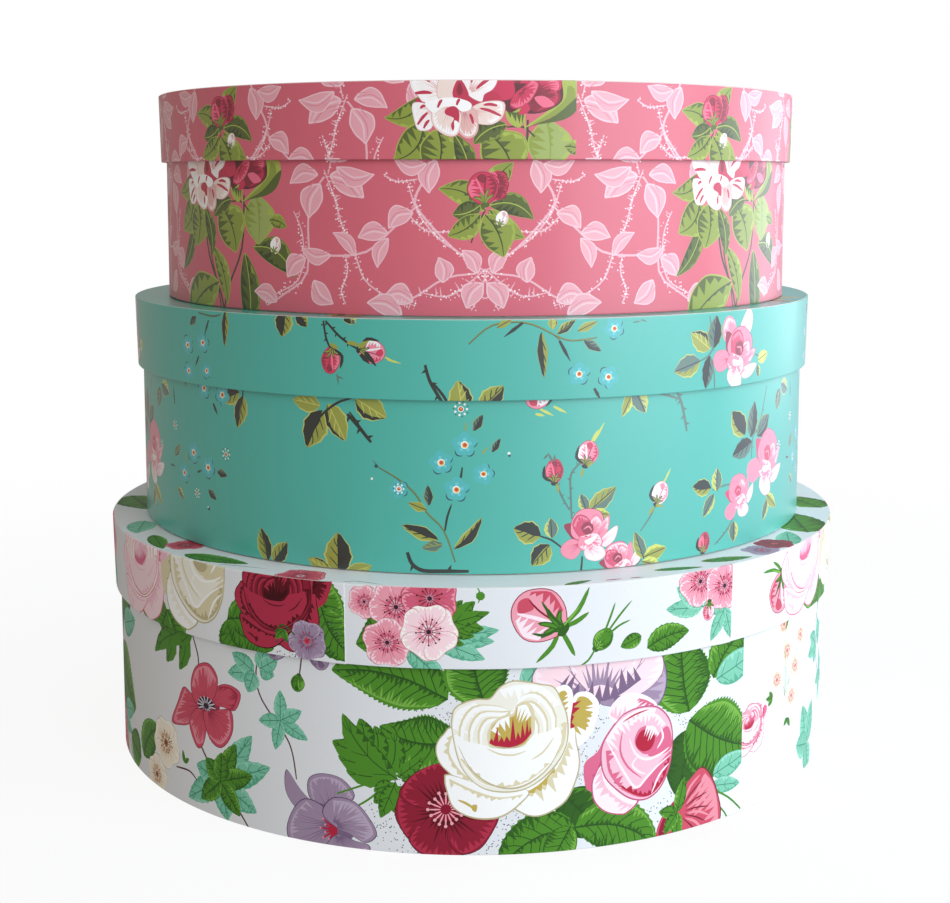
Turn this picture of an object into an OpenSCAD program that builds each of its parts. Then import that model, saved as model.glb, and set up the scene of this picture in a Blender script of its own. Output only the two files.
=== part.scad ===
// Three round nesting hat boxes, stacked with their lids on.
// Each box is a hoop of greyboard with a disc set into its foot, covered outside with printed
// paper and lined inside. Each lid is a disc set into a shorter, wider hoop, covered the same way.
// The origin is the centre of the large box's underside, +Z is up and the front faces -Y.

/* [Box sizes: large, medium, small] */
// Diameter of each lid at its top edge
lid_d = [381, 353, 325]; // [250:1:450]
// Height of each box with its lid on
box_h = [121, 112, 100]; // [80:1:160]
// Depth of each lid's rim
rim_depth = [36, 35, 33]; // [25:1:50]

/* [Stacking] */
// Where the medium box stands on the large lid, from its centre
medium_shift = [0, 4.5]; // [-6:0.5:6]
// Where the small box stands, from the large box's centre
small_shift = [2, -2]; // [-6:0.5:6]

/* [Board and paper] */
// Thickness of the greyboard
board = 1.6; // [1:0.1:2.5]
// Thickness of the printed paper and of the lining paper
paper = 0.3; // [0.2:0.05:0.4]

/* [Fit] */
// Gap between the box and the inside of its lid's rim, at the rim's lower edge
lid_gap = 0.4; // [0.35:0.05:1]
// How much further out the top of a lid's rim stands than its lower edge
lid_flare = 0.5; // [0:0.1:1]
// How much further out the foot of a box stands than its top
body_flare = 0.8; // [0:0.1:1.5]
// Gap left for glue round a disc or a sheet's edge
glue_gap = 0.1; // [0.05:0.05:0.2]

/* [Paper turned over the edges] */
// Wall paper turned under the foot, and rim paper turned over the lid's top
turn_over = 12; // [8:1:16]
// Wall paper turned in over the box's top edge
turn_in = 15; // [10:1:18]
// How far below the box's top edge the lining ends
lining_drop = 5; // [3:1:8]
// How far the lid's top paper ends short of its edge
lid_paper_inset = 0.6; // [0.4:0.1:2]
// How far the base paper ends short of the foot's edge
base_paper_inset = 1; // [0.4:0.1:3]

/* [Hidden] */
LARGE = 0;
MEDIUM = 1;
SMALL = 2;
box_names = ["large", "medium", "small"];
shift = [[0, 0], medium_shift, small_shift];
floor_z = [0, box_h[LARGE], box_h[LARGE] + box_h[MEDIUM]];
print_colour = ["whitesmoke", "mediumaquamarine", "palevioletred"];
board_colour = "tan";
lining_colour = "ivory";

piece_names = [
    "base_paper", "base_board", "base_lining", "wall_board", "wall_wrap", "wall_lining",
    "lid_board", "lid_paper", "lid_lining", "rim_board", "rim_wrap"
];

// a hoop or disc this large needs many facets in the preview
$fn = 180;

rim_t = board + 2 * paper;         // board with paper on both sides
lid_t = board + 3 * paper;         // what lies over a box's top edge

// heights above the box's own floor
function body_top(i) = box_h[i] - lid_t;
function rim_low(i) = box_h[i] - rim_depth[i];

// outer radius of the covered wall and of the covered rim at height z
function wall_r(i, z) =
    lid_d[i] / 2 - lid_flare - rim_t - lid_gap
    + body_flare * (rim_low(i) - z) / body_top(i);
function rim_r(i, z) = lid_d[i] / 2 - lid_flare * (box_h[i] - z) / rim_depth[i];

// the board's inner face, in the wall and in the rim
function wall_board_in(i, z) = wall_r(i, z) - paper - board;
function rim_board_in(i, z) = rim_r(i, z) - paper - board;

// puts a section, drawn with its box's floor at zero, round the box's own centre line
module turned(i) {
    translate([shift[i].x, shift[i].y, floor_z[i]])
        rotate_extrude()
            children();
}

// a flat sheet that is twice as thick inside the radius where it laps over turned paper
module lapped_sheet(r, lap_r, outer_z, inner_z) {
    middle_z = (outer_z + inner_z) / 2;
    polygon([[0, outer_z], [r, outer_z], [r, middle_z], [lap_r, middle_z], [lap_r, inner_z], [0, inner_z]]);
}

module flat_disc(r, z, t) {
    translate([0, z])
        square([r, t]);
}

module base_paper(i) {
    color(lining_colour)
        turned(i)
            lapped_sheet(wall_r(i, 0) - base_paper_inset, wall_r(i, paper) - turn_over - glue_gap, 0, 2 * paper);
}

module base_board(i) {
    color(board_colour)
        turned(i)
            flat_disc(wall_board_in(i, 2 * paper + board) - glue_gap, 2 * paper, board);
}

module base_lining(i) {
    z = 2 * paper + board;
    color(lining_colour)
        turned(i)
            flat_disc(wall_board_in(i, z + paper) - glue_gap, z, paper);
}

module wall_board(i) {
    low = 2 * paper;
    high = body_top(i) - paper;
    color(board_colour)
        turned(i)
            polygon([
                [wall_board_in(i, low), low], [wall_r(i, low) - paper, low],
                [wall_r(i, high) - paper, high], [wall_board_in(i, high), high]
            ]);
}

// printed paper round the wall, turned under the foot and in over the top edge
module wall_wrap(i) {
    low = paper;
    high = body_top(i);
    end = high - turn_in;
    color(print_colour[i])
        turned(i)
            polygon([
                [wall_r(i, low) - turn_over, low], [wall_r(i, low), low],
                [wall_r(i, high), high], [wall_board_in(i, high) - paper, high],
                [wall_board_in(i, end) - paper, end], [wall_board_in(i, end), end],
                [wall_board_in(i, high - paper), high - paper], [wall_r(i, high - paper) - paper, high - paper],
                [wall_r(i, 2 * paper) - paper, 2 * paper], [wall_r(i, low) - turn_over, 2 * paper]
            ]);
}

// lining paper, which steps inwards where it laps over the turned-in wall paper
module wall_lining(i) {
    low = 3 * paper + board;
    lap = body_top(i) - turn_in;
    under = lap - paper;
    high = body_top(i) - lining_drop;
    color(lining_colour)
        turned(i)
            polygon([
                [wall_board_in(i, low) - paper, low], [wall_board_in(i, low), low],
                [wall_board_in(i, under), under], [wall_board_in(i, lap) - paper, lap],
                [wall_board_in(i, high) - paper, high], [wall_board_in(i, high) - 2 * paper, high],
                [wall_board_in(i, under) - 2 * paper, under],
                [wall_board_in(i, under - paper) - paper, under - paper]
            ]);
}

module lid_board(i) {
    top = box_h[i] - 2 * paper;
    color(board_colour)
        turned(i)
            flat_disc(rim_board_in(i, top - board) - glue_gap, top - board, board);
}

module lid_paper(i) {
    top = box_h[i];
    color(print_colour[i])
        turned(i)
            lapped_sheet(lid_d[i] / 2 - lid_paper_inset, lid_d[i] / 2 - turn_over - glue_gap, top, top - 2 * paper);
}

module lid_lining(i) {
    color(lining_colour)
        turned(i)
            flat_disc(rim_board_in(i, body_top(i)) - glue_gap, body_top(i), paper);
}

module rim_board(i) {
    low = rim_low(i) + paper;
    high = box_h[i] - 2 * paper;
    color(board_colour)
        turned(i)
            polygon([
                [rim_board_in(i, low), low], [rim_r(i, low) - paper, low],
                [rim_r(i, high) - paper, high], [rim_board_in(i, high), high]
            ]);
}

// printed paper round the rim, turned over the lid's top and in over the rim's lower edge
module rim_wrap(i) {
    low = rim_low(i);
    high = box_h[i] - paper;
    end = body_top(i) - paper;
    color(print_colour[i])
        turned(i)
            polygon([
                [rim_board_in(i, low) - paper, low], [rim_r(i, low), low],
                [rim_r(i, high), high], [rim_r(i, high) - turn_over, high],
                [rim_r(i, high) - turn_over, high - paper], [rim_r(i, high - paper) - paper, high - paper],
                [rim_r(i, low + paper) - paper, low + paper], [rim_board_in(i, low + paper), low + paper],
                [rim_board_in(i, end), end], [rim_board_in(i, end) - paper, end]
            ]);
}

for (i = [LARGE, MEDIUM, SMALL]) {
    box = box_names[i];
    base_paper(i);
    base_board(i);
    base_lining(i);
    wall_board(i);
    wall_wrap(i);
    wall_lining(i);
    lid_board(i);
    lid_paper(i);
    lid_lining(i);
    rim_board(i);
    rim_wrap(i);
}
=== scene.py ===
"""Three round nesting hat boxes in printed paper, stacked with their lids on.

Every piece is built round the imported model: sizes and places come from its boxes. The printed
papers are drawn here as flat artwork, cut into one mesh with the sheet and wrapped round the board.
"""

import cmath
import math
import random

import bmesh
import bpy
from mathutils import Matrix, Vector
from mathutils.bvhtree import BVHTree
from mathutils.geometry import delaunay_2d_cdt


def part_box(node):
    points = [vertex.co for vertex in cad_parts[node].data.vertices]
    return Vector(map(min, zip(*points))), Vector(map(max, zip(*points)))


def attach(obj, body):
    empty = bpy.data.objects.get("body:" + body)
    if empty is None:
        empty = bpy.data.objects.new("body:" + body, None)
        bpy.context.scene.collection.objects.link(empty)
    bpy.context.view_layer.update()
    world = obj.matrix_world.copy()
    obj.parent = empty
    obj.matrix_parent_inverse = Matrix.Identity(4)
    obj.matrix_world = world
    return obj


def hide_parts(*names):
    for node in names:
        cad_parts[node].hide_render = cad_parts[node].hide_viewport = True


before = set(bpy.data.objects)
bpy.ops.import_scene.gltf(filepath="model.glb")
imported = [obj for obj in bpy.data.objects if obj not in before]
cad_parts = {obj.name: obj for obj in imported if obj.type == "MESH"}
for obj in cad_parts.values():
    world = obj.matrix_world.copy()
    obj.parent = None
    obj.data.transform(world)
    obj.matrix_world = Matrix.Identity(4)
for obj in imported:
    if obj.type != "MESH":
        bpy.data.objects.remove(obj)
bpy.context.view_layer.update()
MM = 0.001

# ---------------------------------------------------------------------------------------------
# Camera, floor and light
# ---------------------------------------------------------------------------------------------

VIEW_TILT = 8.6          # degrees that the camera looks down
VIEW_FROM = (0.0017, -0.823, 0.292)
LENS = 58.4              # on a 36 mm sensor
VIEW_SHIFT = -0.042
LOOK_AT = (0, 0, 0.16)           # the middle of the stack
WINDOW_COLOUR = (0.80, 0.90, 1.0)
FILL_COLOUR = (1.0, 0.99, 0.96)
ROOM_LEFT = (0.35, 0.325, 0.295, 1)
ROOM_RIGHT = (0.72, 0.78, 0.90, 1)
FLOOR_RADIUS = 1.4
FLOOR_SHADE = 0.10               # how much of the floor shows beside the boxes
FLOOR_FADE = (0.21, 0.9)         # it starts to fade this far from the middle, and is gone this far


def set_camera():
    data = bpy.data.cameras.new("camera")
    data.lens = LENS
    data.shift_y = VIEW_SHIFT
    camera = bpy.data.objects.new("camera", data)
    camera.location = VIEW_FROM
    camera.rotation_euler = (math.radians(90 - VIEW_TILT), 0, 0)
    bpy.context.scene.collection.objects.link(camera)
    bpy.context.scene.camera = camera


def softbox(name, place, size, power, colour):
    """A large rectangular lamp that faces the middle of the stack."""
    data = bpy.data.lights.new(name, "AREA")
    data.shape = "RECTANGLE"
    data.size, data.size_y = size
    data.energy = power
    data.color = colour
    lamp = bpy.data.objects.new(name, data)
    lamp.location = place
    lamp.rotation_euler = (Vector(LOOK_AT) - Vector(place)).to_track_quat("-Z", "Y").to_euler()
    bpy.context.scene.collection.objects.link(lamp)


def set_light():
    softbox("window", (1.3, -0.95, 0.7), (1.5, 1.5), 20, WINDOW_COLOUR)
    softbox("window_behind", (1.45, 0.55, 0.6), (1.4, 1.3), 11, WINDOW_COLOUR)
    softbox("front_fill", (0.5, -2.4, 1.3), (2.0, 1.4), 17, FILL_COLOUR)


def set_world():
    """A white backdrop to look at. The room lights by a dim warm grey, bright and cool on the right."""
    world = bpy.data.worlds.new("studio")
    bpy.context.scene.world = world
    world.use_nodes = True
    tree = world.node_tree
    tree.nodes.clear()
    start = Wire(tree, None)
    towards = start.node("ShaderNodeTexCoord", out="Generated")
    right = start.node("ShaderNodeSeparateXYZ", {}, {0: towards}, out="X").ramp(-0.5, 1.0)
    colour = mixed(ROOM_LEFT, ROOM_RIGHT, right)
    room = start.node("ShaderNodeBackground", {}, {"Color": colour, "Strength": 1.0})
    backdrop = start.node("ShaderNodeBackground", {}, {"Color": (1, 1, 1, 1), "Strength": 1.0})
    seen = start.node("ShaderNodeLightPath", out="Is Camera Ray")
    both = start.node("ShaderNodeMixShader", {}, {0: seen, 1: room, 2: backdrop})
    out = tree.nodes.new("ShaderNodeOutputWorld")
    tree.links.new(both.socket, out.inputs["Surface"])


# ---------------------------------------------------------------------------------------------
# Shader maths
# ---------------------------------------------------------------------------------------------


class Wire:
    """A socket that can be added, multiplied and so on. Each operation adds a Math node."""

    def __init__(self, tree, socket):
        self.tree = tree
        self.socket = socket

    def node(self, kind, settings=None, inputs=None, out=0):
        """Any other node: its type, its settings, the values or wires of its sockets."""
        made = self.tree.nodes.new(kind)
        for key, value in (settings or {}).items():
            if key == "stops":
                ramp = made.color_ramp.elements
                while len(ramp) > 1:
                    ramp.remove(ramp[-1])
                ramp[0].position, ramp[0].color = value[0]
                for place, colour in value[1:]:
                    ramp.new(place).color = colour
            else:
                setattr(made, key, value)
        for key, value in (inputs or {}).items():
            if isinstance(value, Wire):
                self.tree.links.new(value.socket, made.inputs[key])
            else:
                made.inputs[key].default_value = value
        return Wire(self.tree, made.outputs[out])

    def maths(self, operation, *values):
        return self.node("ShaderNodeMath", {"operation": operation}, dict(enumerate(values)))

    def __add__(self, other):
        return self.maths("ADD", self, other)

    __radd__ = __add__

    def __sub__(self, other):
        return self.maths("SUBTRACT", self, other)

    def __rsub__(self, other):
        return self.maths("SUBTRACT", other, self)

    def __mul__(self, other):
        return self.maths("MULTIPLY", self, other)

    __rmul__ = __mul__

    def __truediv__(self, other):
        return self.maths("DIVIDE", self, other)

    def __pow__(self, other):
        return self.maths("POWER", self, other)

    def ramp(self, low, high, start=0.0, end=1.0):
        """This value taken from low..high to start..end, smoothly and held at the ends."""
        return self.node(
            "ShaderNodeMapRange", {"interpolation_type": "SMOOTHSTEP"},
            {"Value": self, "From Min": low, "From Max": high, "To Min": start, "To Max": end},
        )


def mixed(a, b, share):
    """Colour a turning to colour b as share goes from 0 to 1."""
    wire = next(w for w in (a, b, share) if isinstance(w, Wire))
    return wire.node("ShaderNodeMix", {"data_type": "RGBA"}, {"Factor": share, 6: a, 7: b}, out=2)


def linear(colour):
    """A screen colour such as #8a9a38, as the renderer's red, green, blue and alpha."""
    parts = [int(colour[k:k + 2], 16) / 255 for k in (1, 3, 5)]
    return tuple(c / 12.92 if c <= 0.04045 else ((c + 0.055) / 1.055) ** 2.4 for c in parts) + (1.0,)


def new_material(name):
    """A material with only a Principled shader: the material, the shader and a wire to build on."""
    material = bpy.data.materials.new(name)
    material.use_nodes = True
    tree = material.node_tree
    shader = tree.nodes["Principled BSDF"]
    return material, shader, Wire(tree, None)


def join(material, wire, shader, socket):
    material.node_tree.links.new(wire.socket, shader.inputs[socket])


# ---------------------------------------------------------------------------------------------
# Materials
# ---------------------------------------------------------------------------------------------


WHITE_GLOSS = 0.12       # strength of the coating on each printed paper
TEAL_GLOSS = 0.85
PINK_GLOSS = 0.5
COAT_ROUGHNESS = 0.27
PRINT_ROUGHNESS = 0.42


def printed_paper(name, gloss):
    """Coated printed paper: the print's own colours, faint ink mottle, fibre and board ripple."""
    material, shader, start = new_material(name)
    place = start.node("ShaderNodeTexCoord", out="Object")
    print_colour = start.node("ShaderNodeAttribute", {"attribute_name": "print"}, out="Color")
    mottle = start.node("ShaderNodeTexNoise", {}, {"Vector": place, "Scale": 900.0, "Detail": 3.0})
    cloud = start.node("ShaderNodeTexNoise", {}, {"Vector": place, "Scale": 26.0, "Detail": 2.0})
    brightness = 0.965 + mottle * 0.05 + cloud * 0.02
    shaded = start.node(
        "ShaderNodeMix", {"data_type": "RGBA", "blend_type": "MULTIPLY"},
        {"Factor": 1.0, 6: print_colour, 7: brightness}, out=2,
    )
    join(material, shaded, shader, "Base Color")
    join(material, PRINT_ROUGHNESS - 0.05 + mottle * 0.08 + cloud * 0.06, shader, "Roughness")
    fibre = start.node("ShaderNodeTexNoise", {}, {"Vector": place, "Scale": 1600.0, "Detail": 2.0})
    ripple = start.node("ShaderNodeTexNoise", {}, {"Vector": place, "Scale": 18.0, "Detail": 1.0})
    height = fibre * 0.00002 + ripple * 0.0012
    bump = start.node("ShaderNodeBump", {}, {"Height": height, "Strength": 0.35, "Distance": 1.0})
    join(material, bump, shader, "Normal")
    shader.inputs["Specular IOR Level"].default_value = gloss
    shader.inputs["Coat Weight"].default_value = gloss
    shader.inputs["Coat Roughness"].default_value = COAT_ROUGHNESS
    return material


def plain_paper(name, colour, roughness=0.8):
    """Uncoated lining paper with a visible fibre."""
    material, shader, start = new_material(name)
    place = start.node("ShaderNodeTexCoord", out="Object")
    fibre = start.node("ShaderNodeTexNoise", {}, {"Vector": place, "Scale": 700.0, "Detail": 4.0})
    cloud = start.node("ShaderNodeTexNoise", {}, {"Vector": place, "Scale": 40.0, "Detail": 2.0})
    light, dark = linear(colour), tuple(0.88 * c for c in linear(colour)[:3]) + (1.0,)
    join(material, mixed(dark, light, (fibre * 0.6 + cloud * 0.4).ramp(0.3, 0.65)), shader, "Base Color")
    join(material, roughness - 0.06 + fibre * 0.12, shader, "Roughness")
    bump = start.node("ShaderNodeBump", {}, {"Height": fibre * 0.00006, "Strength": 0.5, "Distance": 1.0})
    join(material, bump, shader, "Normal")
    return material


def greyboard():
    """Pressed grey board with darker flecks."""
    material, shader, start = new_material("greyboard")
    place = start.node("ShaderNodeTexCoord", out="Object")
    grain = start.node("ShaderNodeTexNoise", {}, {"Vector": place, "Scale": 320.0, "Detail": 5.0})
    fleck = start.node("ShaderNodeTexVoronoi", {}, {"Vector": place, "Scale": 420.0}, out="Distance")
    body = mixed(linear("#8b8378"), linear("#b3aa9c"), grain.ramp(0.35, 0.65))
    join(material, mixed(linear("#5c5349"), body, fleck.ramp(0.06, 0.16)), shader, "Base Color")
    join(material, 0.86 + grain * 0.1, shader, "Roughness")
    bump = start.node("ShaderNodeBump", {}, {"Height": grain * 0.00015, "Strength": 0.6, "Distance": 1.0})
    join(material, bump, shader, "Normal")
    return material


def floor_paper():
    """Pale studio floor that fades out into the backdrop."""
    material, shader, start = new_material("studio_floor")
    place = start.node("ShaderNodeTexCoord", out="Object")
    reach = start.node("ShaderNodeVectorMath", {"operation": "LENGTH"}, {0: place}, out="Value")
    shader.inputs["Base Color"].default_value = (0.93, 0.93, 0.93, 1)
    shader.inputs["Roughness"].default_value = 0.9
    shader.inputs["Specular IOR Level"].default_value = 0.1
    join(material, reach.ramp(*FLOOR_FADE, FLOOR_SHADE, 0.0), shader, "Alpha")
    return material


# ---------------------------------------------------------------------------------------------
# Drawing the print. A shape is (ink, outline): the outline is a list of complex numbers, x along
# the sheet and y up it, in millimetres. Shapes are laid in painting order, the last one on top.
# ---------------------------------------------------------------------------------------------


def aim(degrees):
    """A unit step in that direction."""
    return cmath.exp(1j * math.radians(degrees))


def smooth(knots, closed=True, steps=4):
    """A smooth line through a few knots."""
    count = len(knots)
    spans = count if closed else count - 1

    def knot(k):
        return knots[k % count] if closed else knots[min(max(k, 0), count - 1)]

    line = []
    for k in range(spans):
        a, b, c, d = knot(k - 1), knot(k), knot(k + 1), knot(k + 2)
        for s in range(steps):
            t = s / steps
            bend = (2 * a - 5 * b + 4 * c - d) * t * t + (3 * b - a - 3 * c + d) * t**3
            line.append(0.5 * (2 * b + (c - a) * t + bend))
    if not closed:
        line.append(knots[-1])
    return line


def along(line, t):
    """The point a share t of the way along a line."""
    place = min(max(t, 0.0), 1.0) * (len(line) - 1)
    k = min(int(place), len(line) - 2)
    return line[k] + (line[k + 1] - line[k]) * (place - k)


def blob(ink, *knots):
    return ink, smooth(list(knots))


def brush(ink, knots, width, ends=(0.15, 0.15), steps=3):
    """A brush mark along the knots, widest in the middle and drawn out to its ends."""
    line = smooth(knots, closed=False, steps=steps) if len(knots) > 2 else list(knots)
    if len(line) == 2:
        line.insert(1, (line[0] + line[1]) / 2)
    left, right = [], []
    last = len(line) - 1
    for k, point in enumerate(line):
        t = k / last
        ahead = line[min(k + 1, last)] - line[max(k - 1, 0)]
        taper = ends[0] * (1 - t) + ends[1] * t
        half = width / 2 * (taper + (1 - taper) * math.sin(math.pi * t) ** 0.7)
        side = 1j * ahead / (abs(ahead) or 1.0) * half
        left.append(point + side)
        right.append(point - side)
    return ink, left + right[::-1]


def comb(ink, edge, towards, count, chance, depth=(0.45, 1.0), valley=0.12):
    """Feathered shading: solid along the edge line, with spikes that reach towards the other line."""
    near = smooth(edge, closed=False, steps=4)
    far = smooth(towards, closed=False, steps=4)
    spikes = []
    for k in range(count):
        t = (k + 0.5) / count
        deep = chance.uniform(*depth)
        low = (k + 0.02) / count
        spikes.append(along(near, low) * (1 - valley) + along(far, low) * valley)
        slant = t + chance.uniform(-0.3, 0.3) / count
        spikes.append(along(near, t) * (1 - deep) + along(far, slant) * deep)
    return ink, near + spikes[::-1]


def spot(ink, centre, radius, corners=6):
    """A small round dot."""
    return ink, [centre + radius * aim(360 * k / corners + 20) for k in range(corners)]


def placed(shapes, at, size=1.0, turn=0.0, flip=False):
    """A motif scaled, turned and set down somewhere on the sheet."""
    step = size * aim(turn)
    out = []
    for ink, outline in shapes:
        points = [(-p.conjugate() if flip else p) for p in outline]
        out.append((ink, [at + step * p for p in points]))
    return out


def leaf(base, tip, width, inks, bow=0.0, teeth=0, veins=5, rim=True, hatch=0):
    """A leaf. Its inks: the body, the feathered shade, the lights and the fine veins."""
    body, shade, light, line = inks
    span = tip - base
    chance = random.Random(round(abs(base) * 7 + abs(tip) * 13))

    def rib(t):
        return base + span * t + 1j * span * bow * 4 * t * (1 - t)

    def margin(t, side, swell=1.0):
        """A point on the edge, or part of the way out to it."""
        step = rib(min(1.0, t + 0.02)) - rib(max(0.0, t - 0.02))
        half = width / 2 * math.sin(math.pi * min(1.0, t**0.8)) ** 0.75
        return rib(t) + side * 1j * step / abs(step) * half * swell

    count = teeth or 8
    left, right = [], []
    for k in range(count):
        for part, swell in ((0.0, 0.97), (0.78, 1.06)) if teeth else ((0.0, 1.0), (0.5, 1.0)):
            left.append(margin((k + part) / count, 1, swell))
            right.append(margin((k + part) / count, -1, swell))
    shapes = [(body, [base] + right[1:] + [tip] + left[:0:-1])]
    lower = [margin(t, -1, 0.97) for t in (0.03, 0.2, 0.4, 0.6, 0.8, 0.97)]
    upper = [margin(t, 1, 0.9) for t in (0.08, 0.3, 0.5, 0.7, 0.9)]
    ribs = [rib(t) for t in (0.0, 0.25, 0.5, 0.75, 1.0)]
    marks = max(4, veins * 3)
    shapes.append(comb(shade, lower, ribs, marks, chance, (0.12, 0.8), 0.06))
    if rim:
        shapes.append(comb(light, upper, ribs, marks, chance, (0.1, 0.6), 0.03))
    if veins > 3:
        shapes.append(comb(shade, ribs, upper, marks, chance, (0.05, 0.4), 0.02))
    for k in range(veins):
        t = 0.1 + 0.66 * k / max(1, veins - 1)
        for side in (1, -1):
            shapes.append(brush(line, [rib(t), margin(t + 0.08, side, 0.4), margin(t + 0.17, side, 0.86)],
                                0.22 + width * 0.009, (1.0, 0.1)))
    for k in range(hatch):
        t = 0.12 + 0.75 * k / hatch
        shapes.append(brush(line, [margin(t, -1, 0.95), margin(t + 0.1, -1, 0.35)], 0.36, (0.8, 0.3)))
    shapes.append(brush(line, [base, rib(0.35), rib(0.7), tip], 0.3 + width * 0.016, (1.0, 0.1)))
    return shapes


def lobed_leaf(base, tip, width, inks, lobes=3, bow=0.0):
    """A deeply cut leaf, like hawthorn or anemone: a fan of pointed fingers on one rib."""
    span = tip - base
    shapes = []
    for k in range(lobes):
        t = 0.12 + 0.6 * k / lobes
        root = base + span * t + 1j * span * bow * 4 * t * (1 - t)
        reach = abs(span) * (0.52 - 0.2 * k / lobes)
        for side in (1, -1):
            point = root + reach * span / abs(span) * aim(side * (48 - 6 * k))
            shapes += leaf(root, point, width * 0.66, inks, bow=side * 0.1, teeth=4, veins=2, rim=False)
    shapes += leaf(base, tip, width * 0.85, inks, bow=bow, teeth=6, veins=3, rim=False)
    return shapes


def petal(root, reach, spread, inks, chance, ruffle=0.05, streaks=4, point=0.0, lit=1.0):
    """One open petal from its root outwards: light feathering at its edge, deep feathering inside."""
    rim, body, deep, edge = inks
    side = [
        (0.0, 0.0), (0.10, -0.30), (0.38, -0.80), (0.72, -1.0), (0.96, -0.62), (1.0 + point, 0.0),
        (0.98, 0.60), (0.74, 1.0), (0.40, 0.82), (0.10, 0.30),
    ]

    def at(x, y):
        return root + reach * complex(x, y * spread)

    knots = []
    for x, y in side:
        wobble = 0.0 if x == 0 else chance.uniform(-ruffle, ruffle)
        knots.append(at(x + wobble, y + wobble))
    outline = smooth(knots)
    heart = at(0.4, 0)
    shapes = [(edge, [heart + (p - heart) * 1.02 for p in outline]), (body, outline)]
    outer = [at(0.40, -0.8), at(0.74, -0.96), at(0.95, -0.55), at(0.98 + point, 0), at(0.95, 0.55),
             at(0.74, 0.96), at(0.4, 0.8)]
    inner = [at(0.2, -0.3), at(0.4, -0.4), at(0.5, -0.2), at(0.5, 0), at(0.5, 0.2), at(0.4, 0.4),
             at(0.2, 0.3)]
    shapes.append(comb(rim, outer, inner, 3 * streaks + 4, chance, (0.1 * lit, 0.6 * lit), 0.03))
    low = [at(0.14, -0.34), at(0.2, 0), at(0.14, 0.34)]
    high = [at(0.62, -0.86), at(0.92, 0), at(0.62, 0.86)]
    shapes.append(comb(deep, low, high, streaks + 5, chance, (0.25, 0.95), 0.12))
    return shapes


def shaped_petal(root, outline, inks, chance, lit=0.5, dark=0.6):
    """A petal of any outline, feathered dark from its root and light from its far edge."""
    rim, body, deep, edge = inks
    middle = sum(outline) / len(outline)
    reach = max(abs(p - root) for p in outline)
    far = [p for p in outline if abs(p - root) > 0.5 * reach]
    count = 5 + round(reach * 0.45)
    inside = [root + (p - root) * 0.93 for p in far]
    return [
        blob(edge, *[middle + (p - middle) * 1.035 for p in outline]),
        blob(body, *outline),
        comb(rim, inside, [root + (p - root) * 0.3 for p in far], count + 4, chance, (0.1 * lit, 1.2 * lit),
             0.03),
        comb(deep, [root + (p - root) * 0.1 for p in far], far, count, chance, (0.3 * dark, 1.4 * dark), 0.1),
    ]


def crescent(ink, centre, radius, start, sweep, thick, squash, steps):
    """A curved petal edge seen from its side, thick in the middle."""
    outer, inner = [], []
    for k in range(steps + 1):
        t = k / steps
        way = aim(start + sweep * t)
        way = complex(way.real, way.imag * squash)
        outer.append(centre + way * radius)
        inner.append(centre + way * (radius - thick * math.sin(math.pi * t) ** 0.7))
    return ink, outer + inner[::-1]


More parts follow.
